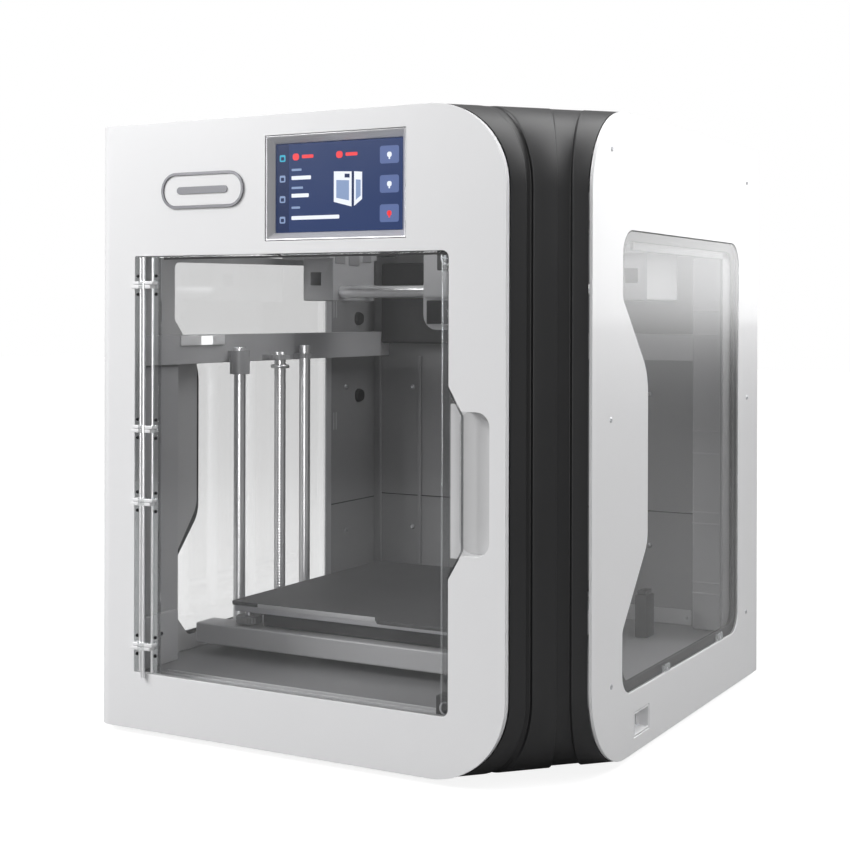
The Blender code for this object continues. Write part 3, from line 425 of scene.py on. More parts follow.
def ring_shape(outer, inner, origin, right, up, depth, steps=8, chamfer=0.0002):
    """A flat ring between two outlines with the same number of corners, its face chamfered."""
    shape = bmesh.new()
    right, up = Vector(right), Vector(up)
    out = right.cross(up)
    loops = []
    a, b = rounded(outer, steps), rounded(inner, steps)
    for flat, level in ((a, 0), (a, 1 - chamfer / depth), (a, 1), (b, 1), (b, 1 - chamfer / depth), (b, 0)):
        loops.append((flat, level))
    rows = []
    for index, (flat, level) in enumerate(loops):
        middle = sum(flat, Vector((0, 0))) / len(flat)
        shift = chamfer if index == 2 else -chamfer if index == 3 else 0
        rows.append([
            shape.verts.new(
                Vector(origin) + right * q.x + up * q.y + out * depth * level
            )
            for q in [p + (middle - p).normalized() * shift for p in flat]
        ])
    count = len(a)
    for row, following in zip(rows, rows[1:] + rows[:1]):
        for k in range(count):
            after = (k + 1) % count
            shape.faces.new((row[k], row[after], following[after], following[k]))
    bmesh.ops.recalc_face_normals(shape, faces=shape.faces)
    return shape


def screw(name, spot, out, radius=0.0016, height=0.0006, mat=DARK_STEEL, body="cabinet"):
    """A button-head screw with a hexagon socket, standing on a face."""
    socket = radius * 0.48
    profile = [
        (0, height * 0.15), (socket, height * 0.15), (socket, height), (radius * 0.72, height * 0.92),
        (radius * 0.94, height * 0.55), (radius, 0.0), (0, 0.0),
    ]
    return piece(name, lathe(profile, spot, out, 18), mat, body, 30)


# ---------------------------------------------------------------- camera, light and stage


def make_camera():
    data = bpy.data.cameras.new("camera")
    data.sensor_width = 36.0
    data.lens = 64.5
    data.shift_x = -0.0294
    data.shift_y = -0.1305
    camera = bpy.data.objects.new("camera", data)
    camera.location = at(0.4863, -0.8997, 0.2597)
    camera.rotation_euler = (radians(90), radians(-0.139), radians(28.57))
    SCENE.collection.objects.link(camera)
    SCENE.camera = camera


def area_light(name, spot, target, size, power, colour=(1, 1, 1)):
    data = bpy.data.lights.new(name, "AREA")
    data.shape = "RECTANGLE"
    data.size, data.size_y = size
    data.energy = power
    data.color = colour
    lamp = bpy.data.objects.new(name, data)
    lamp.location = at(*spot)
    lamp.rotation_euler = (at(*target) - lamp.location).to_track_quat("-Z", "Y").to_euler()
    SCENE.collection.objects.link(lamp)
    return lamp


def make_world():
    """White as the camera sees it; for light and reflections, a sky brighter above than below."""
    world = bpy.data.worlds.new("studio")
    world.use_nodes = True
    tree = world.node_tree
    link = tree.links.new
    seen = tree.nodes["Background"]
    seen.inputs["Strength"].default_value = 1.0
    seen.inputs["Color"].default_value = (1, 1, 1, 1)
    place = node_of(tree, "ShaderNodeTexCoord")
    split = node_of(tree, "ShaderNodeSeparateXYZ")
    link(place.outputs["Generated"], split.inputs["Vector"])
    level = node_of(tree, "ShaderNodeMapRange", interpolation_type="SMOOTHSTEP")
    level.inputs["From Min"].default_value = -0.22
    level.inputs["From Max"].default_value = 0.10
    level.inputs["To Min"].default_value = SKY_LOW
    level.inputs["To Max"].default_value = SKY_HIGH
    link(split.outputs["Z"], level.inputs["Value"])
    sky = node_of(tree, "ShaderNodeBackground")
    link(level.outputs["Result"], sky.inputs["Strength"])
    path = node_of(tree, "ShaderNodeLightPath")
    mix = node_of(tree, "ShaderNodeMixShader")
    link(path.outputs["Is Camera Ray"], mix.inputs["Fac"])
    link(sky.outputs["Background"], mix.inputs[1])
    link(seen.outputs["Background"], mix.inputs[2])
    link(mix.outputs["Shader"], tree.nodes["World Output"].inputs["Surface"])
    SCENE.world = world


def make_floor():
    """A pale table, lifted to near white where the camera sees it, so only soft shadows show."""
    mat = surface("studio_floor", (0.30, 0.30, 0.30), 0.75, grain=60, bump=0.01, vary=0.004)
    tree = mat.node_tree
    shader = tree.nodes["Principled BSDF"]
    path = node_of(tree, "ShaderNodeLightPath")
    lift = node_of(tree, "ShaderNodeMath", operation="MULTIPLY")
    lift.inputs[1].default_value = FLOOR_LIFT
    tree.links.new(path.outputs["Is Camera Ray"], lift.inputs[0])
    tree.links.new(lift.outputs["Value"], shader.inputs["Emission Strength"])
    shader.inputs["Emission Color"].default_value = (1, 1, 1, 1)
    shape = bmesh.new()
    bmesh.ops.create_grid(shape, x_segments=8, y_segments=8, size=6.0)
    mesh = bpy.data.meshes.new("studio_floor")
    shape.to_mesh(mesh)
    shape.free()
    mesh.materials.append(mat)
    floor = bpy.data.objects.new("studio_floor", mesh)
    SCENE.collection.objects.link(floor)


def make_studio():
    SCENE.view_settings.view_transform = "Standard"
    make_world()
    make_floor()
    area_light("key", (-0.85, -1.00, 0.95), (-0.10, -0.17, 0.27), (0.7, 0.7), 17)
    area_light("side_top", (0.55, 0.05, 0.90), (0.155, 0.02, 0.30), (0.5, 0.8), 6)
    area_light("ceiling", (0.0, 0.1, 1.5), (0, 0, 0.2), (1.2, 1.2), 6)
    for lamp in (
        area_light("strip", (0.55, -1.40, 0.42), (-0.05, 0, 0.15), (0.14, 1.1), 9),
        area_light("rear_card", (0.95, 2.20, 0.78), (0.15, 0.0, 0.25), (1.8, 1.1), 16),
    ):
        lamp.visible_diffuse = False


# ---------------------------------------------------------------- shell


def column_rows(steps):
    """Front point, side point and rise angle down the black column, from top to bottom."""
    front_x, front_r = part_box("front_plate")[1].x + 0.0008, 0.047
    side_y, side_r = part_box("right_side_panel")[0].y - 0.0003, 0.0487
    side_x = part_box("right_side_panel")[0].x - 0.0003
    middle, reach = (TOP + BOTTOM) / 2, (TOP - BOTTOM) / 2
    rows = []
    for sign in (1, -1):
        order = range(steps + 1) if sign > 0 else range(steps, -1, -1)
        for k in order:
            angle = pi / 2 * (1 - k / steps)
            fall_front, fall_side = 1 - sin(angle), 1 - sin(angle)
            front = Vector((
                front_x - front_r * (1 - cos(angle)), FACE + 0.0043,
                middle + sign * (reach - front_r * fall_front),
            ))
            side = Vector((
                side_x, side_y + side_r * (1 - cos(angle)),
                middle + sign * (reach - side_r * fall_side),
            ))
            rows.append((front, side, sign * angle))
    return rows


def groove_section():
    """(share across the column, groove depth 0..1) with rounded shoulders."""
    section = [(0.0, 0.0)]
    shoulder = (
        (-0.010, 0.0), (-0.004, 0.04), (0.0, 0.2), (0.003, 0.8), (0.007, 0.96), (0.013, 1.0),
    )
    for start, end in ((0.205, 0.285), (0.600, 0.790)):
        section += [(start + share, depth) for share, depth in shoulder]
        section += [(end - share, depth) for share, depth in reversed(shoulder)]
    return section + [(1.0, 0.0)]


def make_column():
    """The chamfered black column, lofted from the front plate's edge to the side panel's."""
    section = groove_section()
    shape = bmesh.new()
    outer, inner = [], []
    for front, side, angle in column_rows(28):
        across = side - front
        face = Vector((across.y, -across.x, 0)).normalized()
        out = (face * cos(angle) + Vector((0, 0, 1)) * sin(angle)).normalized()
        fade = max(cos(angle), 0.0) ** 0.5
        outer.append([
            shape.verts.new(front.lerp(side, s) - out * 0.0024 * depth * fade) for s, depth in section
        ])
        inner.append([shape.verts.new(front.lerp(side, s) - out * 0.004) for s, _ in section])
    last_row, last_col = len(outer) - 1, len(section) - 1
    for i in range(last_row):
        for j in range(last_col):
            shape.faces.new((outer[i][j], outer[i + 1][j], outer[i + 1][j + 1], outer[i][j + 1]))
            shape.faces.new((inner[i][j], inner[i][j + 1], inner[i + 1][j + 1], inner[i + 1][j]))
        for j in (0, last_col):
            shape.faces.new((outer[i][j], inner[i][j], inner[i + 1][j], outer[i + 1][j]))
    for i in (0, last_row):
        for j in range(last_col):
            shape.faces.new((outer[i][j], outer[i][j + 1], inner[i][j + 1], inner[i][j]))
    bmesh.ops.recalc_face_normals(shape, faces=shape.faces)
    obj = piece("corner_column_skin", shape, COLUMN, smooth=60)
    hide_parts("corner_column")


def make_shell():
    refine("front_plate", WHITE, 0.0007, 3)
    refine("right_side_panel", WHITE, 0.0004, 2)
    refine("left_side_panel", WHITE, 0.0004, 2)
    refine("back_panel", WHITE, 0.0004, 2)
    refine("top_frame", COLUMN, 0.0005, 2)
    refine("top_cover", COVER_CLEAR, 0.0006, 2)
    refine("base_pan", INNER, 0.0004, 2)
    make_column()
    for side, sign, x, forward in (("right", 1, SIDE_X, 0.0), ("left", -1, LEFT_X, LEFT_SCREWS_FORWARD)):
        for k, (y, z) in enumerate(PANEL_SCREWS):
            spot = at(x, y - (forward if y < 0 else 0), z)
            screw(f"{side}_panel_screw_{k + 1}", spot, (sign, 0, 0), 0.0016, 0.0004, ZINC)
    # The grey sheet on the finger recess's floor is painted shade for the recess.
    pocket = rectangle(0.1010, 0.1673, 0.0232, 0.0782, 0.0079)
    shape = sheet_shape(pocket, at(0, FACE_Y + 0.0100, 0), RIGHTWARD, UP, 0.0004, 6)
    piece("recess_floor", shape, RECESS_SHADE)


# ---------------------------------------------------------------- screen and badge


def make_badge():
    low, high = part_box("badge")
    centre = (low + high) / 2
    wide, tall = high.x - low.x, high.z - low.z
    origin = Vector((0, FACE, 0))
    outer = rectangle(centre.x, centre.z, wide, tall, tall / 2 - 0.0001)
    inner = rectangle(centre.x, centre.z, wide - 0.0036, tall - 0.0036, tall / 2 - 0.0020)
    ring = piece("badge_ring", ring_shape(outer, inner, origin, RIGHTWARD, UP, 0.0012, 12), BADGE_SILVER)
    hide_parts("badge")
    field = rectangle(centre.x, centre.z, wide - 0.0038, tall - 0.0038, tall / 2 - 0.0021)
    piece("badge_field", sheet_shape(field, origin, RIGHTWARD, UP, 0.0004, 12), WHITE)
    inset = rectangle(centre.x, centre.z, wide * 0.62, tall * 0.20, tall * 0.099)
    piece("badge_bar", sheet_shape(inset, origin, RIGHTWARD, UP, 0.0010, 8, 0.0003), BADGE_SILVER)


def card(name, u, v, wide, tall, mat, radius=0.0, layer=1):
    """A rounded patch on the display, u and v from the display's centre."""
    low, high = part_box("touch_screen")
    centre = (low + high) / 2
    origin = Vector((centre.x, low.y, centre.z))
    shape = sheet_shape(rectangle(u, v, wide, tall, radius), origin, RIGHTWARD, UP, CARD_THICK * layer, 5)
    return piece("display_" + name, shape, mat)


def make_display():
    """A plain control page: side bar, readings, a small printer and three buttons."""
    refine("screen_bezel", SILVER, 0.0004, 2)
    glass = frame["nodes"]["touch_screen"]
    glass.data.materials.clear()
    glass.data.materials.append(NAVY)
    low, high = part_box("touch_screen")
    wide, tall = high.x - low.x, high.z - low.z
    card("sidebar", -wide / 2 + 0.0045, 0, 0.0088, tall - 0.0004, SIDEBAR, 0, 1)
    for k, v in enumerate((0.0175, 0.0055, -0.0065, -0.0185)):
        mat = CYAN if k == 0 else DIM
        card(f"side_icon_{k}", -wide / 2 + 0.0045, v, 0.0040, 0.0040, mat, 0.0008, 2)
        card(f"side_icon_core_{k}", -wide / 2 + 0.0045, v - 0.0002, 0.0022, 0.0020, SIDEBAR, 0.0003, 3)
    for k, u in enumerate((-0.0290, 0.0010)):
        card(f"heat_icon_{k}", u, 0.0180, 0.0044, 0.0040, RED, 0.0016, 2)
        card(f"heat_value_{k}", u + 0.0082, 0.0180, 0.0080, 0.0020, RED, 0.0006, 2)
    for k, (v, long, mat) in enumerate((
        (0.0105, 0.0070, DIM), (0.0058, 0.0135, INK), (0.0000, 0.0080, DIM),
        (-0.0045, 0.0120, INK), (-0.0115, 0.0060, DIM), (-0.0175, 0.0330, INK),
    )):
        card(f"reading_{k}", -0.0320 + long / 2, v, long, 0.0022 if mat is INK else 0.0013, mat, 0.0005, 2)
    for k, (v, mat) in enumerate(((0.0165, INK), (0.0000, INK), (-0.0165, RED))):
        card(f"button_{k}", wide / 2 - 0.0085, v, 0.0125, 0.0100, SLATE, 0.0014, 2)
        card(f"button_mark_{k}", wide / 2 - 0.0085, v, 0.0030, 0.0030, mat, 0.0012, 3)
        card(f"button_stem_{k}", wide / 2 - 0.0085, v - 0.0006, 0.0010, 0.0040, mat, 0.0003, 3)
    make_display_picture()


def make_display_picture():
    """The little printer on the display: a white box seen from its corner."""
    low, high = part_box("touch_screen")
    centre = (low + high) / 2
    origin = Vector((centre.x + 0.0068, low.y, centre.z - 0.0005))

    def patch(name, corners, mat, layer):
        outline = [(u, v, 0) for u, v in corners]
        shape = sheet_shape(outline, origin, RIGHTWARD, UP, CARD_THICK * layer, 1)
        piece("display_picture_" + name, shape, mat)

    patch("front", ((-0.0095, -0.0085), (0.0025, -0.0115), (0.0025, 0.0085), (-0.0095, 0.0090)), INK, 2)
    patch("side", ((0.0042, -0.0112), (0.0095, -0.0075), (0.0095, 0.0080), (0.0042, 0.0085)), INK, 2)
    patch("edge", ((0.0025, -0.0115), (0.0042, -0.0112), (0.0042, 0.0085), (0.0025, 0.0085)), SIDEBAR, 2)
    patch("door", ((-0.0078, -0.0062), (0.0008, -0.0080), (0.0008, 0.0035), (-0.0078, 0.0040)), DIM, 3)
    patch("pane", ((0.0054, -0.0078), (0.0086, -0.0055), (0.0086, 0.0035), (0.0054, 0.0038)), DIM, 3)
    patch("screen", ((-0.0022, 0.0052), (0.0012, 0.0050), (0.0012, 0.0072), (-0.0022, 0.0074)), SIDEBAR, 3)


# ---------------------------------------------------------------- windows and door


def make_windows():
    # Each pane's rim takes the painted-shade rim material.
    refine("right_window", SIDE_CLEAR, 0.0003, 2, RIM_SHADE, 0)
    refine("left_window", LEFT_CLEAR, 0.0003, 2, RIM_SHADE, 0)
    refine("right_window_gasket", RUBBER, 0.0003, 2)
    refine("left_window_gasket", RUBBER, 0.0003, 2)
    for k, (y, z) in enumerate(((-0.0130, 0.0415), (0.0880, 0.0422))):
        clip = rectangle(0, 0, 0.0110, 0.0075, 0.0016)
        spot = at(SIDE_X - 0.0018, y, z)
        shape = sheet_shape(clip, spot, BACKWARD, UP, 0.0016, 4, 0.0003)
        piece(f"window_clip_{k + 1}", shape, EDGE_CLEAR)
        screw(f"window_clip_screw_{k + 1}", spot + Vector((0.0016, 0, 0)), RIGHTWARD, 0.0012, 0.0002, ZINC)


def make_door():
    # The door pane's rim takes the painted-shade rim material.
    refine("door_glass", CLEAR, 0.0004, 2, RIM_SHADE, 1)
    refine("hinge_fixed_leaf", EDGE_CLEAR, 0.0003, 2)
    refine("hinge_door_leaf", EDGE_CLEAR, 0.0003, 2)
    refine("hinge_pin", STEEL, 0.0003, 2)
    make_hinge_details()
    make_door_seal()
    for name in ("door_magnet_upper", "door_magnet_lower"):
        refine(name, BLACK, 0.0006, 2)
        low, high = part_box(name)
        spot = Vector(((low.x + high.x) / 2, low.y, (low.z + high.z) / 2))
        screw(name + "_screw", spot, FORWARD, 0.0026, 0.0003, DARK_STEEL)
        ring = lathe(
            [(0.0029, 0.0003), (0.0038, 0.0002), (0.0038, 0.0), (0.0029, 0.0), (0.0029, 0.0003)],
            spot, FORWARD, 24,
        )
        piece(name + "_washer", ring, ZINC)


def make_hinge_details():
    """White knuckles round the pin, a polished bead down each leaf, and the leaves' screws."""
    front, back = FACE_Y - 0.0040, FACE_Y + 0.0010
    for k, z in enumerate(HINGE_HEIGHTS, 1):
        for body, x0, x1, low in (
            ("cabinet", -0.1322, -0.1172, z - 0.0022), ("door", -0.1306, -0.1156, z + 0.0001),
        ):
            name = f"hinge_knuckle_{body}_{k}"
            soft_block(name, at(x0, front, low), at(x1, back, low + 0.0021), WHITE, body, 0.0004)
        for side, x, body in (("fixed", -0.1301, "cabinet"), ("moving", -0.1160, "door")):
            for end, rise in (("low", -0.0056), ("high", 0.0056)):
                name = f"hinge_screw_{side}_{end}_{k}"
                screw(name, at(x, FACE_Y + 0.0002, z + rise), FORWARD, 0.0011, 0.0009, DARK_STEEL, body)
    low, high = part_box("hinge_door_leaf")
    for name, x, body in (("fixed", -0.1281, "cabinet"), ("door", -0.1186, "door")):
        bead = lathe(
            [(0, high.z), (0.0009, high.z - 0.0003), (0.0009, low.z + 0.0003), (0, low.z)],
            at(x, FACE_Y + 0.0003, 0), UP, 16,
        )
        piece(f"hinge_bead_{name}", bead, STEEL, body)


def make_door_seal():
    """The soft strip behind the door's free edge, with the bright line of its lip."""
    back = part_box("door_glass")[1].y - ZERO.y
    soft_block(
        "door_seal", at(0.0822, back + 0.0001, 0.0420), at(0.0864, back + 0.0006, 0.2925),
        SEAL, "door", 0.0002,
    )
    soft_block(
        "door_seal_lip", at(0.0810, back + 0.0001, 0.0420), at(0.0820, back + 0.0009, 0.2925),
        EDGE_CLEAR, "door", 0.0003,
    )
    soft_block(
        "door_seal_top", at(-0.1130, back + 0.0001, 0.2925), at(0.0864, back + 0.0006, 0.2938),
        RUBBER, "door", 0.0002,
    )


# ---------------------------------------------------------------- chamber


def make_chamber():
    refine("chamber_floor", FLOOR_GREY, 0.0003, 2)
    refine("back_liner", LINER, 0.0003, 2)
    refine("wall_beam_left", INNER, 0.0008, 2)
    refine("front_post", INNER, 0.0006, 2)
    refine("rear_frame", INNER, 0.0010, 3)
    refine("filter_box", BLACK, 0.0008, 2)
    make_wall_details()
    make_floor_details()


def make_wall_details():
    make_left_wall()
    make_right_wall()
    make_rear_wall()


def make_left_wall():
    """Grey trim round the left window, a dark sheet behind it, what is fixed to them, and the lamp."""
    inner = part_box("left_window_gasket")[1].x - ZERO.x + 0.0002
    trim = [
        (-0.1480, 0.3000, 0), (0.0990, 0.3000, 0), (0.0990, 0.2965, 0), (-0.0999, 0.2935, 0.004),
        (-0.0999, 0.2555, 0.003), (-0.0924, 0.2470, 0.004), (-0.0763, 0.2268, 0.012),
        (-0.0763, 0.1290, 0.018), (-0.0978, 0.1005, 0.006), (-0.0980, 0.0586, 0.006),
        (-0.0850, 0.0440, 0.006), (0.0990, 0.0440, 0), (0.0990, WALL_FOOT, 0), (-0.1480, WALL_FOOT, 0),
    ]
    outline = [(-y, z, r) for y, z, r in trim]
    shape = sheet_shape(outline, at(inner, 0, 0), FORWARD, UP, -0.0005, 5)
    piece("left_wall_trim", shape, WALL_GREY)
    soft_block("left_wall_jamb", at(inner, 0.0815, WALL_FOOT), at(inner + 0.0016, 0.0890, 0.3000), INNER)
    soft_block("left_wall_liner", at(inner, 0.0892, WALL_FOOT), at(inner + 0.0008, 0.1536, 0.3400), LINER)
    face = inner + 0.0008
    for k, (y, z) in enumerate(((0.0930, 0.2633), (0.0965, 0.2633), (0.0932, 0.1766), (0.0967, 0.1766))):
        slot = rectangle(y, z, 0.0014, 0.0135, 0.0006)
        shape = sheet_shape(slot, at(face, 0, 0), BACKWARD, UP, 0.0002, 4)
        piece(f"left_wall_slot_{k + 1}", shape, INNER)
    for k, (y, z) in enumerate(((0.1290, 0.2560), (0.1300, 0.1950))):
        oval = rectangle(y, z, 0.0120, 0.0105, 0.0045)
        shape = sheet_shape(oval, at(face, 0, 0), BACKWARD, UP, 0.0022, 6, 0.0012)
        piece(f"left_wall_grommet_{k + 1}", shape, RUBBER)
    for k, (y, z) in enumerate(((0.1105, 0.2023), (0.1105, 0.0900), (0.1400, 0.3050))):
        screw(f"left_wall_screw_{k + 1}", at(face, y, z), RIGHTWARD, 0.0022, 0.0012, ZINC)
    soft_block(
        "left_wall_seam", at(face - 0.0002, 0.0900, 0.1120), at(face + 0.0003, 0.1530, 0.1128),
        BLACK, width=0.0001,
    )
    soft_block("lamp_body", at(-0.1429, -0.1120, 0.2385), at(-0.1417, -0.0650, 0.2452), LAMP_SHELL)
    soft_block(
        "lamp_window", at(-0.1418, -0.0911, 0.2389), at(-0.1413, -0.0792, 0.2448),
        LAMP, width=0.0002,
    )


def make_right_wall():
    """The lip and head inside the right window, and a small black switch that stands on the floor."""
    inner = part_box("right_window_gasket")[0].x - ZERO.x - 0.0002
    for part, y, z in (("lip", 0.1050, 0.0420), ("head", -0.0600, 0.2975)):
        low = at(inner - 0.0022, y, z)
        soft_block("right_wall_" + part, low, at(inner, 0.1330, 0.3060), FLOOR_GREY)
    soft_block("limit_switch", at(0.0916, 0.0960, WALL_FOOT), at(0.1006, 0.1100, 0.0640), BLACK)
    soft_block("limit_switch_cap", at(0.0930, 0.0970, 0.0640), at(0.0992, 0.1090, 0.0672), BLACK)


def make_rear_wall():
    """Ribs, seams and screws on the dark rear wall, and the low service panel."""
    front = WALL_Y - 0.0016
    for k, x in enumerate((-0.1510, -0.1142, -0.0300, 0.0480)):
        low, high = at(x - 0.0015, front, 0.0350), at(x + 0.0015, WALL_Y, 0.2262)
        soft_block(f"wall_rib_{k + 1}", low, high, LINER)
    left, right = -0.1500, 0.1150
    soft_block(
        "wall_seam", at(left, WALL_Y - 0.0004, 0.1150), at(right, WALL_Y, 0.1158),
        BLACK, width=0.0001,
    )
    soft_block(
        "wall_hem", at(left, WALL_Y - 0.0010, WALL_FOOT), at(right, WALL_Y, 0.0375),
        LINER, width=0.0003,
    )
    spots = [(x, z) for x in (-0.1211, 0.0080, 0.0800) for z in (0.0900, 0.2015)]
    for k, (x, z) in enumerate(spots):
        screw(f"wall_screw_{k + 1}", at(x, WALL_Y, z), FORWARD, 0.0020, 0.0012, ZINC)
    for k, z in enumerate((0.060, 0.068, 0.110, 0.118, 0.160, 0.176, 0.245, 0.262)):
        soft_block(
            f"corner_post_rib_{k + 1}", at(0.1172, WALL_Y - 0.0128, z),
            at(0.1490, WALL_Y - 0.0119, z + 0.0010), INNER, width=0.0002,
        )
    panel = rectangle(0.0850, 0.0400, 0.0560, 0.0110, 0.0015)
    shape = sheet_shape(panel, at(0, front, 0), RIGHTWARD, UP, -0.0010, 5)
    piece("service_panel", shape, INNER)
    for k, x in enumerate((0.0610, 0.1090)):
        screw(f"service_screw_{k + 1}", at(x, front, 0.0400), FORWARD, 0.0014, 0.0008, ZINC)


def make_floor_details():
    """The two lips along the door opening's sill, and the front post's bracket."""
    sill = 0.0341
    for k, y in enumerate((-0.1500, -0.1440)):
        soft_block(
            f"sill_lip_{k + 1}", at(-0.1270, y, sill), at(0.0850, y + 0.0012, sill + 0.0018),
            INNER, width=0.0003,
        )
    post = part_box("front_post")
    low = Vector((post[1].x, post[0].y + 0.0020, post[0].z))
    soft_block("post_bracket", low, low + Vector((0.0030, 0.0330, 0.0330)), INNER)
    spot = low + Vector((0.0030, 0.0160, 0.0200))
    screw("post_bracket_screw", spot, RIGHTWARD, 0.0013, 0.0008, DARK_STEEL)


def make_lift():
    refine("z_rod_front", STEEL, 0.0005, 3)
    refine("z_rod_rear", STEEL, 0.0005, 3)
    refine("z_motor", BLACK, 0.0006, 2)
    make_lead_screw()
    refine("bed_carrier", BLACK, 0.0006, 2)
    carrier_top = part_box("bed_carrier")[1].z
    for name in ("z_rod_front", "z_rod_rear"):
        low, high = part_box(name)
        spot = Vector(((low.x + high.x) / 2, (low.y + high.y) / 2, carrier_top - 0.0002))
        bore, rim = 0.0044, 0.0075
        section = [(bore, 0.0005), (0.0072, 0.0005), (rim, 0.0003), (rim, 0.0), (bore, 0.0)]
        collar = lathe(section + section[:1], spot, UP, 32)
        piece(name + "_bearing", collar, ZINC, "bed")


def make_lead_screw():
    """The turned screw with its very shallow thread, as a loft round a helix, and its collar."""
    low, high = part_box("lead_screw")
    centre = Vector(((low.x + high.x) / 2, (low.y + high.y) / 2, 0))
    pitch, outer, root, sides = 0.002, 0.0040, 0.00392, 24
    start, end = low.z + 0.0060, low.z + 0.1880
    shape = bmesh.new()
    rings = []

    def ring(z, radius_at):
        rings.append([
            shape.verts.new(centre + on_circle(radius_at(z, k), k, sides, z)) for k in range(sides)
        ])

    def thread(z, k):
        share = ((z - start) / pitch - k / sides) % 1.0
        rise = min(max((abs(share - 0.5) - 0.12) / 0.16, 0.0), 1.0)
        return root + (outer - root) * rise

    def plain(radius):
        return lambda z, k: radius

    ring(low.z, plain(0.0034))
    ring(low.z + 0.0006, plain(outer))
    ring(start - 0.0004, plain(outer))
    count = int((end - start) / (pitch / 8))
    for i in range(count + 1):
        ring(start + i * pitch / 8, thread)
    ring(end + 0.0004, plain(outer))
    collar = high.z - 0.0115
    ring(collar, plain(outer))
    ring(collar + 0.00001, plain(0.0060))
    ring(collar + 0.0006, plain(0.0066))
    ring(collar + 0.0019, plain(0.0066))
    ring(collar + 0.0025, plain(0.0060))
    ring(collar + 0.00251, plain(outer))
    ring(high.z - 0.0006, plain(outer))
    ring(high.z, plain(0.0034))
    close_rings(shape, rings)
    obj = piece("lead_screw_skin", shape, STEEL, "z_screw", 50)
    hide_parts("lead_screw")


# ---------------------------------------------------------------- bed


def make_bed():
    refine("bed_frame", INNER, 0.0012, 3)
    refine("heated_bed", ALUMINIUM, 0.0003, 2)
    refine("build_plate", SHEET, 0.0003, 2)
    # A black pad under the heated bed: painted shade filling the dark gap between the plate and the frame.
    soft_block("bed_shade_pad", at(-0.0990, -0.0800, 0.0545), at(0.0500, 0.0850, 0.0630), BLACK, "bed")
    soft_block(
        "bed_edge_strip", at(-0.1000, -0.0852, 0.0668), at(0.0650, -0.0848, 0.0698),
        INNER, "bed", 0.0001,
    )
    for k in (1, 2, 3):
        make_knob(k)


def make_knob(k):
    """A levelling wheel with a knurled rim, and its post."""
    node = f"levelling_knob_{k}"
    low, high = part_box(node)
    centre = Vector(((low.x + high.x) / 2, (low.y + high.y) / 2, 0))
    sides, rim, notch = 72, 0.0086, 0.00035
    shape = bmesh.new()
    rings = []
    for share, z in ((0.92, 0.0548), (1.0, 0.0555), (1.0, 0.0592), (0.92, 0.0599)):
        depths = [notch if share == 1.0 and k % 3 == 0 else 0.0 for k in range(sides)]
        rings.append([
            shape.verts.new(centre + on_circle(rim * share - depth, k, sides, z))
            for k, depth in enumerate(depths)
        ])
    close_rings(shape, rings)
    wheel = piece(node + "_wheel", shape, KNOB_GREY, f"knob_{k}", 30)
    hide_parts(node)
    section = [(0, 0.0629), (0.0018, 0.0629), (0.0022, 0.0626), (0.0022, 0.0600), (0, 0.0600)]
    post = lathe(section, centre, UP, 24)
    piece(node + "_post", post, ZINC, f"knob_{k}", 30)


# ---------------------------------------------------------------- gantry and toolhead


def make_gantry():
    for side in ("left", "right"):
        refine(f"y_rod_{side}", STEEL, 0.0004, 2)
        refine(f"y_carriage_{side}", INNER, 0.0008, 2)
        refine(f"xy_motor_{side}", BLACK, 0.0005, 2)
    refine("x_rod_front", STEEL, 0.0006, 3)
    refine("x_rod_rear", STEEL, 0.0006, 3)
    refine("toolhead_shell", MOULDED, 0.0010, 3)
    refine("nozzle", BRASS, 0.0002, 2)
    refine("drive_belt", BELT, 0.0)
    make_toolhead_details()
    make_carriage_details()


def make_carriage_details():
    """Dark pockets in the left carriage's inner face, and two screws that ride the toolhead."""
    low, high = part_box("y_carriage_left")
    deep, tall = high.y - low.y, high.z - low.z
    pockets = ((0.10, 0.52, 0.20, 0.28), (0.38, 0.50, 0.22, 0.30), (0.68, 0.56, 0.18, 0.24))
    for k, (y, z, w, h) in enumerate(pockets):
        near = Vector((high.x - 0.0002, low.y + y * deep, low.z + z * tall))
        far = Vector((high.x + 0.0005, low.y + (y + w) * deep, low.z + (z + h) * tall))
        soft_block(f"carriage_pocket_{k + 1}", near, far, LINER, "gantry", 0.0003)
    # Known fault: these two belong on the toolhead's front face, which is elsewhere.
    for k, x in enumerate((low.x + 0.0100, high.x - 0.0100)):
        spot = Vector((x, low.y, high.z - 0.0100))
        screw(f"toolhead_screw_{k + 1}", spot, FORWARD, 0.0030, 0.0012, ZINC, "toolhead")


def make_toolhead_details():
    """Three dark sockets and a dark duct on the toolhead's front; the duct's full black is also painted
    shade of the toolhead's underside.
    """
    low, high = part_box("toolhead_shell")
    proud, sunk = low.y - 0.0006, low.y + 0.0002
    sockets = (
        (0.10, 0.3225, 0.0090, 0.0080), (0.34, 0.3225, 0.0110, 0.0110),
        (0.10, 0.3050, 0.0120, 0.0060),
    )
    for k, (share, z, wide, tall) in enumerate(sockets):
        x = low.x + share * (high.x - low.x)
        near, far = Vector((x, proud, z)), Vector((x + wide, sunk, z + tall))
        soft_block(f"toolhead_socket_{k + 1}", near, far, LINER, "toolhead", 0.0003)
    # The duct band is drawn fully black, which also paints the shade under the toolhead.
    soft_block(
        "toolhead_duct_and_shade", Vector((low.x + 0.0040, low.y - 0.0008, low.z + 0.0040)),
        Vector((high.x - 0.0040, sunk, low.z + 0.0200)), BLACK, "toolhead", 0.0006,
    )


# ---------------------------------------------------------------- rear and underside


def make_rear():
    refine("spool_holder", MOULDED, 0.0008, 3)
    refine("power_inlet", BLACK, 0.0004, 2)
    refine("power_switch", BLACK, 0.0004, 2)
    refine("exhaust_fan", BLACK, 0.0)
    refine("usb_port", MOULDED, 0.0004, 2)
    refine("power_supply", ALUMINIUM, 0.0005, 2)
    refine("control_board", BOARD, 0.0001, 1)
    for end in ("front", "rear"):
        for side in ("left", "right"):
            refine(f"foot_{end}_{side}", RUBBER, 0.0004, 2)
    make_fan_guard()
    make_back_details()


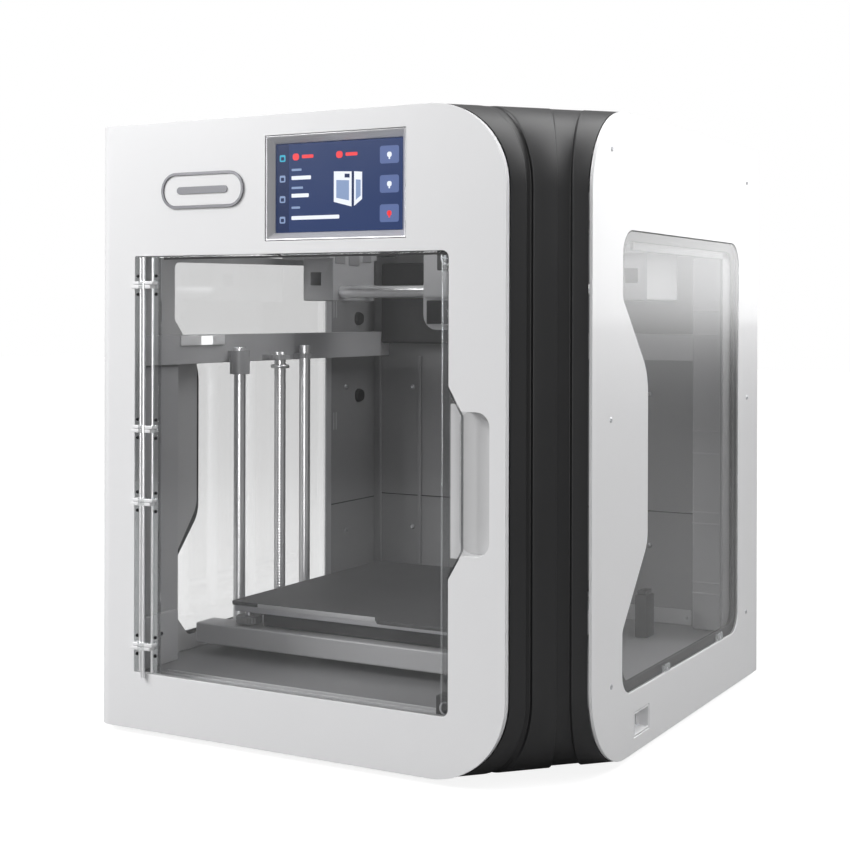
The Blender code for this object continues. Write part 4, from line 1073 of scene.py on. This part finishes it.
def make_fan_guard():
    """A wire guard over the exhaust fan: rings, two crossing bars and four screws."""
    low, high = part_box("exhaust_fan")
    centre = Vector(((low.x + high.x) / 2, BACK, (low.z + high.z) / 2))
    for k, radius in enumerate((0.0050, 0.0095, 0.0140, 0.0185)):
        inner, outer = radius - 0.0005, radius + 0.0005
        wire = [(inner, 0.0), (inner, 0.0009), (outer, 0.0009), (outer, 0.0)]
        shape = lathe(wire + wire[:1], centre, BACKWARD, 48)
        piece(f"fan_guard_ring_{k + 1}", shape, STEEL, "cabinet", 30)
    for k, angle in enumerate((45, 135)):
        reach = Vector((cos(radians(angle)), 0, sin(radians(angle)))) * GUARD_REACH
        across = Vector((-reach.z, 0, reach.x)).normalized()
        bar = rectangle(0, 0, 2 * GUARD_REACH, 0.0012, 0.0003)
        shape = sheet_shape(bar, centre + Vector((0, 0.0009, 0)), reach.normalized(), across, -0.0008, 4)
        piece(f"fan_guard_bar_{k + 1}", shape, STEEL)
        for end, way in (("a", 1), ("b", -1)):
            spot = centre + way * reach
            screw(f"fan_guard_screw_{k + 1}{end}", spot, BACKWARD, 0.0028, 0.0014, ZINC)


def make_back_details():
    """Vents, the service cover's seam, screws, a blank rating plate, and two pins on the top frame."""
    for k in range(9):
        z = 0.0600 + 0.0065 * k
        slot = rectangle(0.0600, z, 0.0620, 0.0028, 0.0013)
        shape = sheet_shape(slot, at(0, BACK_Y + 0.0002, 0), RIGHTWARD, UP, 0.0002, 5)
        piece(f"back_vent_{k + 1}", shape, BLACK)
    for name, x0, z0, x1, z1 in (
        ("low", -0.1350, 0.0420, 0.1300, 0.0426), ("high", -0.1350, 0.1990, 0.1300, 0.1996),
        ("left", -0.1350, 0.0420, -0.1344, 0.1996), ("right", 0.1294, 0.0420, 0.1300, 0.1996),
    ):
        low, high = at(x0, BACK_Y - 0.0001, z0), at(x1, BACK_Y + 0.0002, z1)
        soft_block(f"back_seam_{name}", low, high, BLACK, width=0.0)
    corners = [(x, z) for x in (-0.1500, 0.1445) for z in (0.0200, 0.1300, 0.2450, 0.3600)]
    for k, (x, z) in enumerate(corners):
        screw(f"back_screw_{k + 1}", at(x, BACK_Y, z), BACKWARD, 0.0024, 0.0010, ZINC)
    corners = [(x, z) for x in (-0.1270, 0.1220) for z in (0.0500, 0.1910)]
    for k, (x, z) in enumerate(corners):
        screw(f"cover_screw_{k + 1}", at(x, BACK_Y, z), BACKWARD, 0.0020, 0.0008, ZINC)
    plate = rectangle(-0.0400, 0.0205, 0.0360, 0.0150, 0.0015)
    shape = sheet_shape(plate, at(0, BACK_Y + 0.0003, 0), RIGHTWARD, UP, 0.0003, 5)
    piece("rating_plate", shape, ALUMINIUM)
    low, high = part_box("top_cover")
    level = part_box("top_frame")[1].z - 0.0002
    for k, x in enumerate((low.x + 0.0120, high.x - 0.0120)):
        spot = Vector((x, high.y + 0.0100, level))
        screw(f"top_cover_pin_{k + 1}", spot, UP, 0.0022, 0.0006, ZINC)


make_camera()
make_studio()
make_shell()
make_badge()
make_display()
make_windows()
make_door()
make_chamber()
make_lift()
make_bed()
make_gantry()
make_rear()
